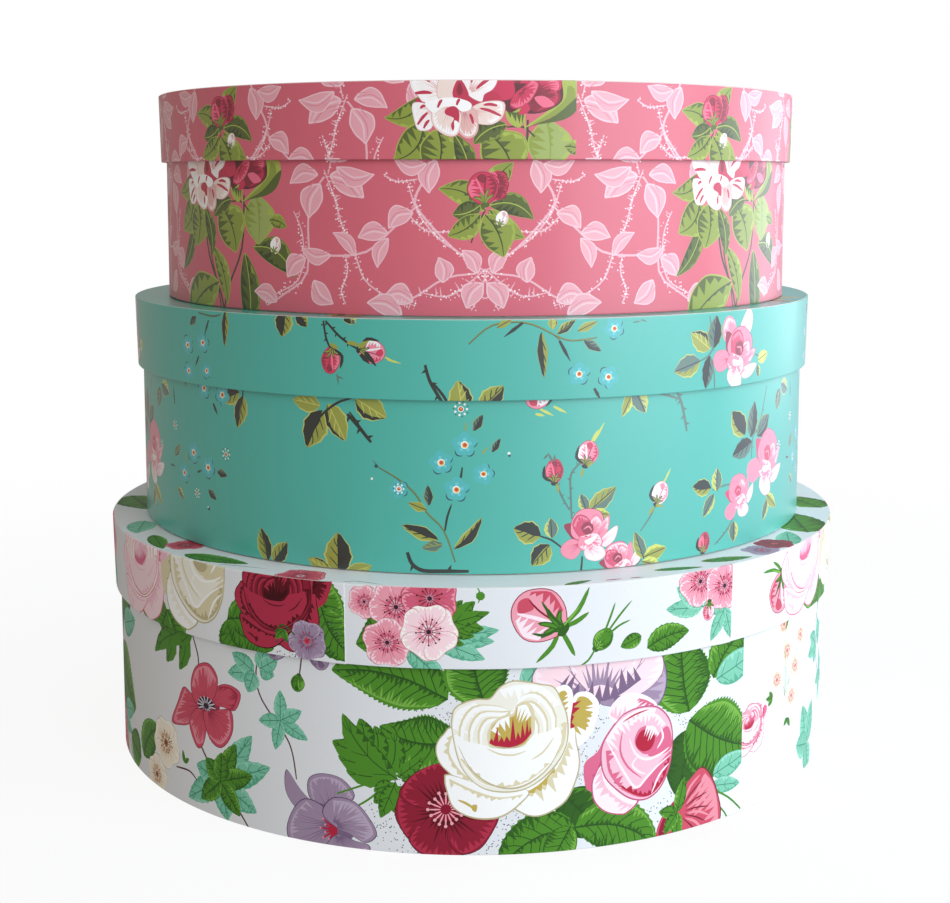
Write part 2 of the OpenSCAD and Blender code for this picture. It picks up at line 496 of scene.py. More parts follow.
def garden_rose(inks, heart, seed):
    """A full-blown rose about 70 mm across, opening upwards. The heart is the origin."""
    light, body, shade, line = inks
    gold, crimson = heart
    chance = random.Random(seed)
    s = [
        # the petal behind on the right, with a warm inside
        blob(light, 25 - 7j, 33 - 3j, 36.5 + 4j, 38 + 11j, 35 + 16j, 31 + 17.5j, 27 + 16j, 25 + 8j, 24 - 2j),
        blob(gold, 26 - 4j, 32 - 0.5j, 34 + 4.5j, 35.5 + 10.5j, 33.5 + 14j, 30.5 + 15.5j, 28 + 14j, 26 + 5j),
        comb(light, [27 - 5j, 33 + 0j, 36 + 6j, 36.5 + 12j], [25 + 2j, 27 + 5j, 29 + 8j, 30 + 11j], 9, chance,
             (0.2, 0.8)),
        comb(crimson, [25.5 - 2j, 25.5 + 6j, 26.5 + 13j], [28 - 2j, 31 + 9j, 33 + 16j], 5, chance,
             (0.2, 0.9)),
        # small petals behind the top right
        blob(light, 18 + 12j, 18.5 + 19j, 23 + 21j, 26 + 18.5j, 26.5 + 13j, 24.5 + 4j, 20 + 1j),
        blob(gold, 19.5 + 12j, 20 + 17j, 23 + 18.5j, 24.6 + 15j, 24 + 8j, 21.5 + 3j),
        comb(light, [25.5 + 18j, 25.5 + 12j, 24 + 5j], [19 + 14j, 20 + 9j, 20 + 3j], 6, chance, (0.3, 0.9)),
        # guard petals, left and below
        blob(line, -22 + 3.5j, -27 + 1.5j, -30 - 3.5j, -29.4 - 9j, -26 - 14j, -18 - 20j, -10 - 18j),
        blob(light, -22 + 3j, -26.7 + 1j, -29.5 - 3.5j, -29 - 9j, -25.7 - 13.6j, -18 - 19j, -10 - 17j),
        comb(shade, [-23 + 1j, -24.5 - 6j, -20 - 14j, -13 - 19j], [-30 + 0j, -31 - 8j, -26 - 17j, -18 - 22j],
             8, chance, (0.15, 0.6)),
        blob(line, 25 + 2j, 28.3 - 4j, 29.8 - 12.6j, 28.3 - 20.4j, 24.4 - 28.3j, 18.4 - 32.6j, 12 - 34.6j,
             6 - 33.2j, 1 - 29j, 4 - 20j),
        blob(light, 25 + 2j, 27.8 - 4j, 29.2 - 12.6j, 27.7 - 20j, 24 - 27.7j, 18.2 - 32j, 12 - 34j,
             6.3 - 32.7j, 1 - 28j, 4 - 20j),
        comb(shade, [2 - 26j, 12 - 22j, 20 - 14j, 25 - 3j], [6 - 33j, 16 - 31j, 26 - 22j, 29 - 8j], 11,
             chance, (0.2, 0.75)),
        comb(gold, [3 - 25.5j, 12 - 21j, 19 - 14j], [6 - 32j, 16 - 28j, 23 - 20j], 7, chance, (0.1, 0.5)),
        blob(line, -24.5 - 15.5j, -26.6 - 18j, -25.5 - 23.5j, -23.3 - 29.5j, -18 - 33.3j, -10.7 - 35j,
             -2.7 - 34j, 4.5 - 29j, 8 - 23j, -8 - 21j),
        blob(light, -24 - 16j, -26 - 18.3j, -25 - 23.3j, -23 - 29j, -18 - 32.7j, -10.7 - 34.3j, -3 - 33.3j,
             4 - 28.6j, 7.5 - 23j, -8 - 21j),
        comb(shade, [-24.5 - 17.5j, -14 - 22.5j, -4 - 25.5j, 6 - 24.5j],
             [-25 - 25j, -17 - 29j, -6 - 30j, 3 - 29j], 11, chance, (0.12, 0.55)),
        brush(gold, [-21 - 26.5j, -17.5 - 28j, -14 - 30.5j], 1.1, (0.2, 0.4)),
        blob(gold, -15.5 - 29j, -13.2 - 28.6j, -13.5 - 31.5j, -15 - 31j),
        # the ball of inner petals
        blob(line, -23.4 + 2j, -23.6 + 9j, -22 + 13j, -17.8 + 15.4j, -13 + 16.6j, -8 + 16.8j, -4 + 21.4j,
             1.3 + 23.9j, 8.2 + 23.2j, 13.2 + 22j, 18.6 + 20.4j, 22 + 14j, 24.6 + 6j, 24 - 5j, 18 - 15j,
             8 - 22j, -2 - 23.6j, -12 - 21j, -20 - 12j),
        blob(body, -23 + 2j, -23 + 9j, -21.6 + 12.6j, -17.6 + 14.8j, -13 + 16j, -7.8 + 16.2j, -3.8 + 20.8j,
             1.3 + 23.3j, 8.2 + 22.6j, 13.2 + 21.4j, 18.2 + 20j, 21.5 + 14j, 24 + 6j, 23.5 - 5j, 17.5 - 14.5j,
             8 - 21.5j, -2 - 23j, -12 - 20.5j, -19.5 - 12j),
        comb(light, [-23 + 4j, -21.5 + 11j, -14 + 15j], [-10 - 2j, -9 + 5j, -7 + 10j], 6, chance, (0.3, 0.8)),
        comb(light, [-4 + 20j, 4 + 22j, 14 + 20.5j, 21.5 + 13j], [1 + 9j, 5 + 10j, 9 + 9j, 12 + 5j], 8,
             chance, (0.25, 0.7)),
        comb(shade, [24 + 5j, 22.5 - 5j, 15 - 15j], [12 + 6j, 12 + 0j, 7 - 8j], 6, chance, (0.1, 0.45)),
    ]
    # wrapped petal edges stepping in towards the heart, on both sides
    for k in range(4):
        out = 1 - 0.19 * k
        left = [(-19.5 - 7j) * out, (-20 + 4j) * out, (-15 + 12.5j) * out, (-6.5 + 13j) * out + 1, 0.5 + 11j]
        s.append(brush(shade, left, 1.5 - 0.15 * k, (0.15, 0.3)))
        s.append(brush(light, [p + 0.9 - 0.7j for p in left], 1.9 - 0.2 * k, (0.1, 0.2)))
        right = [2.5 + 12j, (6 + 17.5j) * out + 0.8, (13 + 17j) * out, (18.5 + 8j) * out + 0.5,
                 (17.5 - 5j) * out + 0.5]
        s.append(brush(shade, right, 1.5 - 0.15 * k, (0.3, 0.15)))
        s.append(brush(light, [p - 0.8 - 0.8j for p in right], 1.8 - 0.2 * k, (0.2, 0.1)))
    s += [
        # the heart
        blob(shade, -8.6 - 1j, -7.6 + 5.5j, -3 + 9j, 1.5 + 10j, 3 + 13.5j, 7 + 15j, 10 + 11.5j, 10.6 + 5j,
             9.8 + 1j, 6 - 4j, -1 - 4.6j, -7.5 - 4.2j),
        blob(gold, -7.8 - 0.6j, -6.8 + 5j, -2.5 + 8j, 2 + 9j, 3.4 + 13j, 6.6 + 13.4j, 8.6 + 10.5j, 9 + 4.6j,
             8.8 + 1j, 5.4 - 3.4j, -1 - 3.6j, -6.8 - 3.4j),
        comb(light, [3.5 + 13j, 7 + 13.4j, 9 + 9j], [2 + 3j, 3 + 3j, 4 + 2j], 4, chance, (0.3, 0.8)),
        comb(light, [-7.4 + 3j, -4.5 + 7j, 0 + 9j], [-2 - 1j, -1 + 0j, 1 + 1j], 4, chance, (0.25, 0.7)),
        comb(crimson, [-8.2 - 2.4j, -4 - 4.2j, 1.5 - 4.2j, 6 - 2.2j, 9.2 + 1.4j],
             [-7 + 3j, -3.5 + 7j, 1.5 + 9j, 6 + 8.5j, 9 + 6.5j], 9, chance, (0.35, 1.0), 0.2),
        brush(line, [-6 - 3.6j, 0 - 4.8j, 5 - 3.4j], 0.9, (0.2, 0.2)),
        # the front petal, a broad bowl
        blob(light, -22.4 + 1j, -17 - 1.5j, -10.5 - 3j, -6.5 - 4.4j, -0.5 - 4.8j, 5.8 - 4j, 10 + 0.4j,
             15.5 + 1.5j, 20.5 + 3j, 21.5 - 4j, 16.5 - 13j, 8 - 19.5j, -2 - 21.5j, -12 - 19j, -19 - 11j),
        comb(shade, [-20 - 9j, -12 - 18.5j, -2 - 21.3j, 8 - 19j, 17 - 12j],
             [-16 - 6j, -9 - 14j, -1 - 17j, 7 - 15j, 14 - 9j], 12, chance, (0.1, 0.8)),
        brush(shade, [-9 - 4.6j, -4 - 7j, 2 - 7.6j, 7 - 6j], 0.8, (0.2, 0.2)),
        brush(shade, [9 - 10j, 14 - 7j, 18.5 - 1j], 0.8, (0.1, 0.3)),
        brush(line, [-21 - 3j, -16 - 13j, -8 - 19.6j, 1 - 21.9j, 9 - 19.6j, 17 - 13j, 21.5 - 4j], 0.7,
              (0.1, 0.1)),
    ]
    return s


def cupped_rose(inks, heart, seed):
    """A rose seen from its side, leaning right: a deep cup of crossing petals. The heart is the origin."""
    light, body, shade, line = inks
    blush, crimson = heart
    chance = random.Random(seed)
    return [
        # petals behind
        blob(shade, -14 + 11j, -20 + 5j, -24 - 2j, -30 - 7j, -29 - 18j, -24 - 19j, -18 - 8j),
        comb(line, [-16 + 8j, -20 - 2j, -24 - 14j], [-21 + 7j, -28 - 2j, -30 - 14j], 6, chance, (0.1, 0.6)),
        blob(light, -18.5 + 13j, -18 + 17.6j, -13 + 22.3j, -7.5 + 23.2j, -2 + 21.5j, 3 + 18.4j, 5 + 15j,
             -3.4 + 12.5j, -12 + 9j),
        comb(body, [-18 + 14j, -12 + 11j, -2 + 14j], [-17 + 19j, -10 + 20j, -2 + 19j], 7, chance, (0.3, 0.9)),
        comb(shade, [4 + 16j, 0 + 18.5j, -4 + 20j], [-1 + 14j, -6 + 15j, -10 + 17j], 5, chance, (0.3, 0.9)),
        blob(line, -20.5 - 7.6j, -25.2 - 12.6j, -26.6 - 17.6j, -25.3 - 24.7j, -20.2 - 30j, -13 - 32.4j,
             -8.6 - 31.8j, -3 - 26j, -10 - 16j),
        blob(light, -20.5 - 8.2j, -24.7 - 12.6j, -26 - 17.6j, -24.7 - 24.4j, -19.9 - 29.5j, -13 - 31.8j,
             -9 - 31.2j, -4 - 26j, -10 - 16j),
        comb(body, [-22 - 9j, -20 - 18j, -12 - 26j, -6 - 29j], [-27 - 14j, -26 - 22j, -19 - 30j, -12 - 33j],
             9, chance, (0.2, 0.8)),
        # the cup
        blob(line, -14.6 + 11.2j, -10.3 + 14.5j, -3.4 + 16.1j, 5 + 15.2j, 11.6 + 9.2j, 14 + 1.3j, 13.6 - 9j,
             11.6 - 16.8j, 7.2 - 23.9j, 0.7 - 27.4j, -6.6 - 26.4j, -13.5 - 21.9j, -20.5 - 14j, -22.5 - 5j,
             -21 + 2.8j),
        blob(body, -14.4 + 10.7j, -10.3 + 13.8j, -3.4 + 15.4j, 4.8 + 14.5j, 11 + 8.8j, 13.4 + 1.3j, 13 - 8.8j,
             11 - 16.4j, 6.8 - 23.3j, 0.7 - 26.7j, -6.2 - 25.8j, -13 - 21.4j, -19.9 - 13.8j, -21.9 - 5j,
             -20.5 + 2.5j),
        comb(light, [-20 + 3j, -14 + 10.5j, -4 + 15j, 5 + 14j], [-12 - 6j, -8 + 2j, -2 + 5j, 2 + 6j], 11,
             chance, (0.3, 0.9)),
        blob(blush, -13 - 20j, -5 - 21.5j, 1 - 16j, 8 - 10.5j, 13 - 7j, 12.4 - 13j, 9 - 20j, 3 - 25.5j,
             -4 - 25.5j),
        comb(crimson, [-16 - 17j, -6 - 24j, 2 - 25.6j, 9 - 20j, 12.6 - 10j],
             [-12 - 12j, -5 - 18j, 1 - 18j, 6 - 14j, 8 - 8j], 13, chance, (0.15, 0.75)),
        comb(blush, [-20 - 2j, -18.5 - 12j, -13 - 20j], [-11 - 1j, -10 - 8j, -7 - 15j], 7, chance,
             (0.15, 0.6)),
        brush(light, [-20 + 3j, -16 - 4j, -11 - 13j, -5 - 21j, 0.5 - 17j, 6 - 12.6j, 13 - 8.6j], 1.2,
              (0.3, 0.2)),
        brush(crimson, [-12 + 10j, -6 + 12.8j, 1 + 14.2j], 0.8, (0.2, 0.2)),
        # petals wrapped round the heart
        blob(blush, 10 + 5j, 13 + 1j, 12.8 - 6j, 6 - 8j, 1 - 7j, 3 - 2j),
        comb(light, [-9 + 9j, -2 + 12.6j, 5 + 11.5j, 10 + 6j], [-4 + 2j, -1 + 5j, 2 + 5j, 5 + 3j], 9, chance,
             (0.2, 0.7)),
        brush(shade, [-12 + 6j, -13 - 3j, -9 - 11j, -2 - 17j], 1.0, (0.2, 0.2)),
        blob(shade, -6 + 1j, -4 + 5.6j, 0 + 7j, 4 + 6j, 6.4 + 1.5j, 4.6 - 4j, 0 - 6.4j, -4.4 - 3.4j),
        blob(crimson, -5.4 + 0.6j, -3 + 4.6j, 0.6 + 5.2j, 3.6 + 3.4j, 4.4 + 0j, 2.4 - 4j, -1.4 - 4.8j,
             -4.6 - 2.6j),
        comb(light, [0 + 7j, 4 + 6j, 6.6 + 2j], [-3 - 2j, 0 - 3j, 2 - 4j], 6, chance, (0.2, 0.75)),
        brush(light, [-8.5 + 2j, -5.6 - 5j, 0 - 8.6j, 7 - 7.6j, 12 - 5j], 1.3, (0.2, 0.2)),
        brush(light, [7.6 + 4.6j, 8.6 + 0j, 5.6 - 4.6j], 1.1, (0.3, 0.2)),
        brush(light, [-4 - 6.5j, -7 - 10j, -4 - 13.5j, 0 - 15.5j], 1.0, (0.3, 0.2)),
        brush(light, [3 - 25j, 7 - 17j, 12 - 12.5j], 1.0, (0.2, 0.2)),
    ]


def sized(shapes, size):
    """The motif scaled about its origin."""
    return [(ink, [size * p for p in outline]) for ink, outline in shapes]


ROSE_RADIUS = 31.0       # of the two roses above, as drawn


def rose(radius, inks, heart_inks, seed):
    """A garden rose of that radius. Odd seeds open upwards, even ones lean to the side."""
    drawn = garden_rose(inks, heart_inks, seed) if seed % 2 else cupped_rose(inks, heart_inks, seed)
    middle = 1 - 5j if seed % 2 else -6 - 4j
    return placed([(ink, [p - middle for p in outline]) for ink, outline in drawn], 0j, radius / ROSE_RADIUS)


def anemone(radius, inks, centre_inks, seed, petals, squash):
    """An open flower with broad streaked petals round a boss of stamens."""
    pale, dark = centre_inks
    chance = random.Random(seed)
    shapes = []
    order = list(range(petals))
    chance.shuffle(order)
    for k in order:
        way = aim(360 * k / petals + chance.uniform(-9, 9)) * chance.uniform(0.9, 1.06)
        shapes += petal(0.05 * way, 0.92 * way, 0.66, inks, chance, ruffle=0.05, streaks=4, point=0.03,
                        lit=0.8)
    shapes.append((dark, smooth([0.2 * aim(a) for a in range(0, 360, 45)], steps=2)))
    for k in range(16):
        way = aim(22.5 * k)
        reach = chance.uniform(0.26, 0.34)
        shapes.append(brush(pale, [0.1 * way, reach * way], 0.03, (0.6, 0.8)))
        shapes.append(spot(pale, (reach + 0.02) * way, 0.036, 5))
    shapes.append(spot(dark, 0j, 0.07, 7))
    flat = []
    for ink, outline in shapes:
        flat.append((ink, [radius * complex(p.real, p.imag * squash) for p in outline]))
    return flat


def blossom(radius, inks, centre_inks, seed, turn=0.0, petals=5):
    """A small open blossom with dark stamens."""
    ring, dark = centre_inks
    chance = random.Random(seed)
    shapes = []
    for k in range(petals):
        way = aim(turn + 360 * k / petals)
        shapes += petal(0.06 * way, 0.94 * way, 0.72, inks, chance, ruffle=0.03, streaks=3, point=-0.08,
                        lit=0.9)
    shapes.append((ring, smooth([0.17 * aim(a) for a in range(0, 360, 60)], steps=2)))
    for k in range(13):
        way = aim(turn + 360 * k / 13 + chance.uniform(-5, 5))
        out = chance.uniform(0.34, 0.5)
        shapes.append(brush(dark, [0.12 * way, out * way], 0.03, (0.8, 0.5)))
        shapes.append(spot(dark, out * way, 0.042, 5))
    shapes.append(spot(dark, 0j, 0.1, 6))
    return [(ink, [radius * p for p in outline]) for ink, outline in shapes]


def rosebud(length, inks, greens, seed, open_=0.35):
    """A bud standing on its stalk end at the origin, tip upwards."""
    rim, body, deep, edge = inks
    green, dark_green = greens[0], greens[1]
    chance = random.Random(seed)
    w = 0.3 + 0.22 * open_
    whole = smooth([0j, -w * 0.7 + 0.2j, -w + 0.52j, -w * 0.66 + 0.86j, -0.1 * w + 1.0j, w * 0.55 + 0.92j,
                    w + 0.56j, w * 0.72 + 0.2j])
    shapes = [(edge, [0.5j + (p - 0.5j) * 1.035 for p in whole]), (body, whole)]
    shapes.append(comb(rim, [-w * 0.8 + 0.3j, -w * 0.94 + 0.56j, -w * 0.6 + 0.82j],
                       [0.1j, w * 0.2 + 0.4j, w * 0.2 + 0.8j], 6, chance, (0.3, 0.9)))
    shapes.append(comb(deep, [w * 0.6 + 0.2j, w * 0.94 + 0.55j, w * 0.6 + 0.86j],
                       [-w * 0.1 + 0.2j, w * 0.1 + 0.5j, w * 0.1 + 0.9j], 6, chance, (0.2, 0.8)))
    shapes.append(blob(deep, -w * 0.3 + 0.84j, 0.02 + 0.95j, w * 0.35 + 0.84j, 0.05 + 0.66j))
    shapes.append(brush(rim, [0.02 + 0.12j, -0.12 * w + 0.5j, -0.35 * w + 0.86j], 0.07, (0.3, 0.3)))
    shapes.append(brush(edge, [0.04 + 0.2j, 0.14 * w + 0.55j, 0.3 * w + 0.82j], 0.035, (0.5, 0.2)))
    for turn, reach in ((-50, 0.42), (-16, 0.46), (20, 0.5), (48, 0.4)):
        tip = reach * aim(90 - turn) * chance.uniform(0.9, 1.1)
        curl = tip * 0.55 * aim(turn * 0.35)
        shapes.append(brush(dark_green, [0j, curl, tip], 0.1, (0.8, 0.02)))
        shapes.append(brush(green, [0.02j, curl, tip * 0.9], 0.055, (0.7, 0.02)))
    shapes.append((dark_green, smooth([-0.09 - 0.06j, -0.13 + 0.06j, 0.13 + 0.06j, 0.09 - 0.06j], steps=3)))
    return [(ink, [length * p for p in outline]) for ink, outline in shapes]


def stem(ink, knots, width, thorns=0, light=None):
    """A stalk, with thorns on alternate sides and a light along one edge."""
    shapes = [brush(ink, knots, width, (0.8, 0.7), steps=4)]
    line = smooth(knots, closed=False, steps=8)
    for k in range(thorns):
        at = int((k + 0.6) / thorns * (len(line) - 2))
        ahead = line[at + 1] - line[at]
        side = (1j if k % 2 else -1j) * ahead / abs(ahead)
        spike = line[at] + side * width * 1.7 + ahead / abs(ahead) * width * 0.8
        shapes.append(brush(ink, [line[at] - side * width * 0.2, spike], width * 0.7, (1.0, 0.05)))
    if light:
        shapes.append(brush(light, [p + width * 0.18j for p in knots], width * 0.3, (0.6, 0.4), steps=4))
    return shapes


def stipple(ink, inside, count, size, seed):
    """Fine dots scattered in rings of (centre, inner radius, outer radius), close to their inside."""
    chance = random.Random(seed)
    shapes = []
    for centre, inner, outer in inside:
        for _ in range(count):
            reach = inner + (outer - inner) * chance.random() ** 1.7
            at = centre + reach * aim(chance.uniform(0, 360))
            shapes.append(spot(ink, at, size * chance.uniform(0.7, 1.1), 4))
    return shapes


# ---------------------------------------------------------------------------------------------
# The three prints: their inks, their motifs and where each motif stands on its sheet
# ---------------------------------------------------------------------------------------------

# The inks of the prints, as screen colours.
INKS = {
    # the white paper
    "paper back": "#ece7dc", "white ground": "#e5e7e9", "leaf": "#4f8a29", "leaf deep": "#335f20",
    "leaf light": "#79b048", "leaf vein": "#2c5220", "mint": "#7cc4a6", "mint deep": "#5aa888",
    "mint light": "#98d6bd", "mint vein": "#43886e", "cream rim": "#fbfbf8", "cream": "#f1eee0",
    "cream deep": "#ddd3ae", "cream edge": "#bdb28a", "gold": "#c3ac55", "rose rim": "#fbe9ef",
    "rose": "#f2c0cf", "rose deep": "#dc6a8b", "rose edge": "#c2557a", "wine rim": "#b23049",
    "wine": "#8f1f34", "wine deep": "#5f141f", "wine edge": "#420c15", "crimson": "#b5263f",
    "coral rim": "#e58f9c", "coral": "#cc4f64", "coral deep": "#a23048", "coral edge": "#73202f",
    "mauve rim": "#bca9be", "mauve": "#a08aa3", "mauve deep": "#7d6683", "mauve edge": "#574560",
    "blossom rim": "#fbdbe1", "blossom": "#ee9fae", "blossom deep": "#d4607a", "blossom edge": "#a83f58",
    "stamen": "#3a2433", "stamen ring": "#d9889a", "boss pale": "#d8cfd6", "boss dark": "#332a38",
    "boss pink": "#f2a9b4", "boss red": "#8c1730", "ghost rim": "#fdf9ee", "ghost": "#f6ecd8",
    "ghost deep": "#d9b08c", "ghost edge": "#9c7c5c", "orange": "#c9763c", "twig": "#5c3a30",
    "dot": "#3f4550", "soft green": "#9db98c",
    # the pink paper
    "pink ground": "#d76475", "tint": "#eca7b2", "tint light": "#f4c6cd", "tint line": "#f0b6c0",
    "tint deep": "#e08b9a", "tint white": "#fdf0f2", "olive": "#8d9b3a", "olive light": "#a9b84e",
    "olive pale": "#9fae5e", "olive deep": "#566328", "olive vein": "#3a461f", "stripe rim": "#fefcfa",
    "stripe": "#fbf3f0", "stripe warm": "#f3dcd2", "stripe deep": "#e5b4ae", "stripe edge": "#cf8f95",
    "stripe red": "#c22a4c", "red rim": "#ee6f8a", "red": "#cf2f55", "red deep": "#8e2036",
    "red edge": "#5e1a28", "stalk": "#3c4526",
    # the teal paper
    "teal ground": "#42b3a3", "sage": "#999e3a", "sage light": "#c6c763", "black leaf": "#141e16",
    "black vein": "#0c130f", "teal rose rim": "#fbdce0", "teal rose": "#f08ba2",
    "teal rose deep": "#d43f66", "bud": "#d42f55", "bud deep": "#94193a", "bud light": "#f27d95",
    "sky": "#45b7b6", "sky light": "#5ec8d0", "sky line": "#0f3f4c", "eye": "#f2b23c",
    "eye red": "#c83a22", "fine stem": "#4d5a2e", "lemon": "#cfd45c", "pale white": "#f6fbf8",
    "slate leaf": "#567469",
}

LEAF = ("leaf", "leaf deep", "leaf light", "leaf vein")
MINT = ("mint", "mint deep", "mint light", "mint vein")
CREAM = ("cream rim", "cream", "cream deep", "cream edge")
PINK_ROSE = ("rose rim", "rose", "rose deep", "rose edge")
WINE = ("wine rim", "wine", "wine deep", "wine edge")
CORAL = ("coral rim", "coral", "coral deep", "coral edge")
MAUVE = ("mauve rim", "mauve", "mauve deep", "mauve edge")
BLOSSOM = ("blossom rim", "blossom", "blossom deep", "blossom edge")
GHOST = ("ghost rim", "ghost", "ghost deep", "ghost edge")
OLIVE = ("olive", "olive deep", "olive light", "olive vein")
DARK_OLIVE = ("olive deep", "olive vein", "olive", "olive light")
STRIPE = ("stripe rim", "stripe", "stripe deep", "stripe edge")
RED = ("red rim", "red", "red deep", "red edge")
BUD = ("bud light", "bud", "bud deep", "bud deep")
GREENS = ("leaf", "leaf deep")
STAMENS = ("stamen ring", "stamen")
SLATE = ("slate leaf", "black leaf", "sage")
PALE_SAGE = ("sage light", "slate leaf", "lemon")
BLACK = ("sage", "black leaf", "sage light")
LEMON = ("lemon", "sage", "lemon")
OPEN_ROSE = ("pale white", "teal rose rim", "teal rose", "teal rose deep", "bud deep")
PALE_ROSE = ("pale white", "teal rose rim", "teal rose", "teal rose", "teal rose deep")


def fan(base, tips, width, inks, teeth=0, veins=4):
    """Leaves spreading from one joint."""
    shapes = []
    for tip in tips:
        shapes += leaf(base, base + tip, width, inks, teeth=teeth, veins=veins)
    return shapes


def strokes(ink, width, *pairs):
    """Single brush marks from point to point."""
    return [brush(ink, list(knots), width, (0.7, 0.15)) for knots in pairs]


# ---- the white paper -------------------------------------------------------------------------


def coral_bud_from_below():
    """A plump coral bud seen from its back, with its green calyx. The calyx is the origin."""
    chance = random.Random(7)
    whole = [14 + 18j, 20 + 12j, 24 + 3j, 26 - 8j, 20 - 22j, 6 - 26j, -8 - 18j, -11 - 8j, -7 + 1j, 0 + 7j,
             7 + 14j]
    s = [blob("coral edge", *[p * 1.025 for p in whole]), blob("coral", *whole)]
    s.append(comb("wine", [-8 - 16j, -10 - 8j, -6 + 1j, 2 + 8j], [4 - 20j, 2 - 12j, 4 - 4j, 9 + 4j], 8,
                  chance, (0.3, 0.95)))
    s.append(comb("coral rim", [16 + 15j, 21 + 9j, 24 + 0j, 25 - 10j], [4 + 2j, 6 - 4j, 8 - 8j, 10 - 14j], 7,
                  chance, (0.4, 1.0)))
    for k in range(5):
        out = (13 + 15j) * aim(-22 * k)
        s.append(brush("coral rim", [out * 0.3, out * 0.65 * aim(6), out], 1.3, (0.2, 0.2)))
        s.append(brush("coral edge", [out * 0.25 * aim(-9), out * 0.6 * aim(-6), out * 0.95 * aim(-9)], 0.7,
                       (0.4, 0.1)))
    s += fan(0j, [4 + 16j, -10 + 2j, 0 - 14j, -7 - 9j], 6.5, LEAF, veins=2)
    return s


def mauve_rose_behind():
    """A mauve rose with blush inner petals, seen from below. Its foot is the origin."""
    chance = random.Random(17)
    blush = ("rose rim", "blossom rim", "mauve", "mauve deep")
    s = petal(0j, -29 + 13j, 0.5, MAUVE, chance) + petal(0j, 30 + 15j, 0.5, MAUVE, chance)
    s += petal(-2 + 3j, -17 + 25j, 0.6, blush, chance) + petal(2 + 3j, 21 + 24j, 0.55, blush, chance)
    s += petal(0 + 2j, 3 + 29j, 0.6, blush, chance)
    s.append(comb("mauve deep", [-20 + 7j, -8 + 1j, 6 + 1j, 20 + 8j],
                  [-14 + 16j, -5 + 12j, 6 + 13j, 15 + 18j], 11, chance))
    return s


def rose_bouquet():
    """The large bouquet: cream, pink, mauve and wine flowers over broad leaves. About 200 x 120."""
    dark = ("leaf deep", "leaf vein", "leaf", "leaf vein")
    s = []
    s += stipple("dot", [(14 + 46j, 28, 44), (-9 + 21j, 24, 40), (76 + 38j, 25, 42)], 420, 0.36, 11)
    s += leaf(-10 + 70j, -62 + 80j, 28, LEAF, bow=-0.1, teeth=19, veins=8)
    s += leaf(6 + 68j, 1 + 100j, 28, LEAF, bow=0.06, teeth=15, veins=8)
    s += leaf(22 + 74j, 34 + 92j, 10, MINT, veins=3)
    s += leaf(-4 + 53j, -40 + 57j, 26, LEAF, bow=0.14, teeth=15, veins=7, hatch=9)
    s += stem("leaf", [-60 + 24j, -46 + 30j, -34 + 35j], 1.0)
    s += lobed_leaf(-32 + 33j, -57 + 61j, 15, LEAF, lobes=3, bow=0.1)
    s += lobed_leaf(-33 + 32j, -40 + 15j, 10, LEAF, lobes=2)
    s += lobed_leaf(-32 + 34j, -20 + 44j, 8, LEAF, lobes=1)
    s += leaf(40 + 26j, 60 + 5j, 24, dark, hatch=12, veins=4)
    s += leaf(46 + 10j, 12 - 8j, 22, LEAF, bow=-0.14, teeth=13, veins=6, hatch=8)
    s += leaf(46 + 10j, 86 - 6j, 24, LEAF, bow=0.14, teeth=15, veins=7, hatch=6)
    s += leaf(44 + 11j, 33 - 9j, 15, LEAF, veins=5)
    s += leaf(104 + 47j, 97 + 16j, 22, dark, hatch=12, veins=4)
    s += leaf(103 + 55j, 98 + 92j, 32, LEAF, bow=0.04, teeth=19, veins=8, hatch=7)
    s += stem("twig", [124 + 104j, 121 + 84j, 117 + 70j], 1.3)
    s += leaf(117 + 68j, 143 + 90j, 21, LEAF, bow=0.1, teeth=11, veins=6, hatch=6)
    s += leaf(119 + 67j, 148 + 76j, 15, MINT, veins=3)
    s += leaf(103 + 51j, 145 + 30j, 37, LEAF, bow=-0.06, teeth=21, veins=8)
    s += leaf(118 + 22j, 141 + 28j, 11, MINT, veins=3)
    s += leaf(117 + 17j, 136 + 14j, 8, MINT, veins=3)
    s += stem("leaf", [116 + 16j, 128 + 9j, 140 - 2j], 1.0)
    s += stem("leaf", [118 + 10j, 126 + 2j, 130 - 6j], 0.9)
    s += placed(mauve_rose_behind(), 57 + 66j)
    s += placed(anemone(24, WINE, ("boss pink", "boss red"), 22, petals=5, squash=0.95), -11 + 20.5j, turn=46)
    s += placed(cupped_rose(PINK_ROSE, ("rose deep", "crimson"), 24), 80 + 45.5j)
    s += placed(garden_rose(CREAM, ("gold", "crimson"), 25), 16.5 + 53j, 1.06)
    s += placed(coral_bud_from_below(), 97 + 9j)
    return s


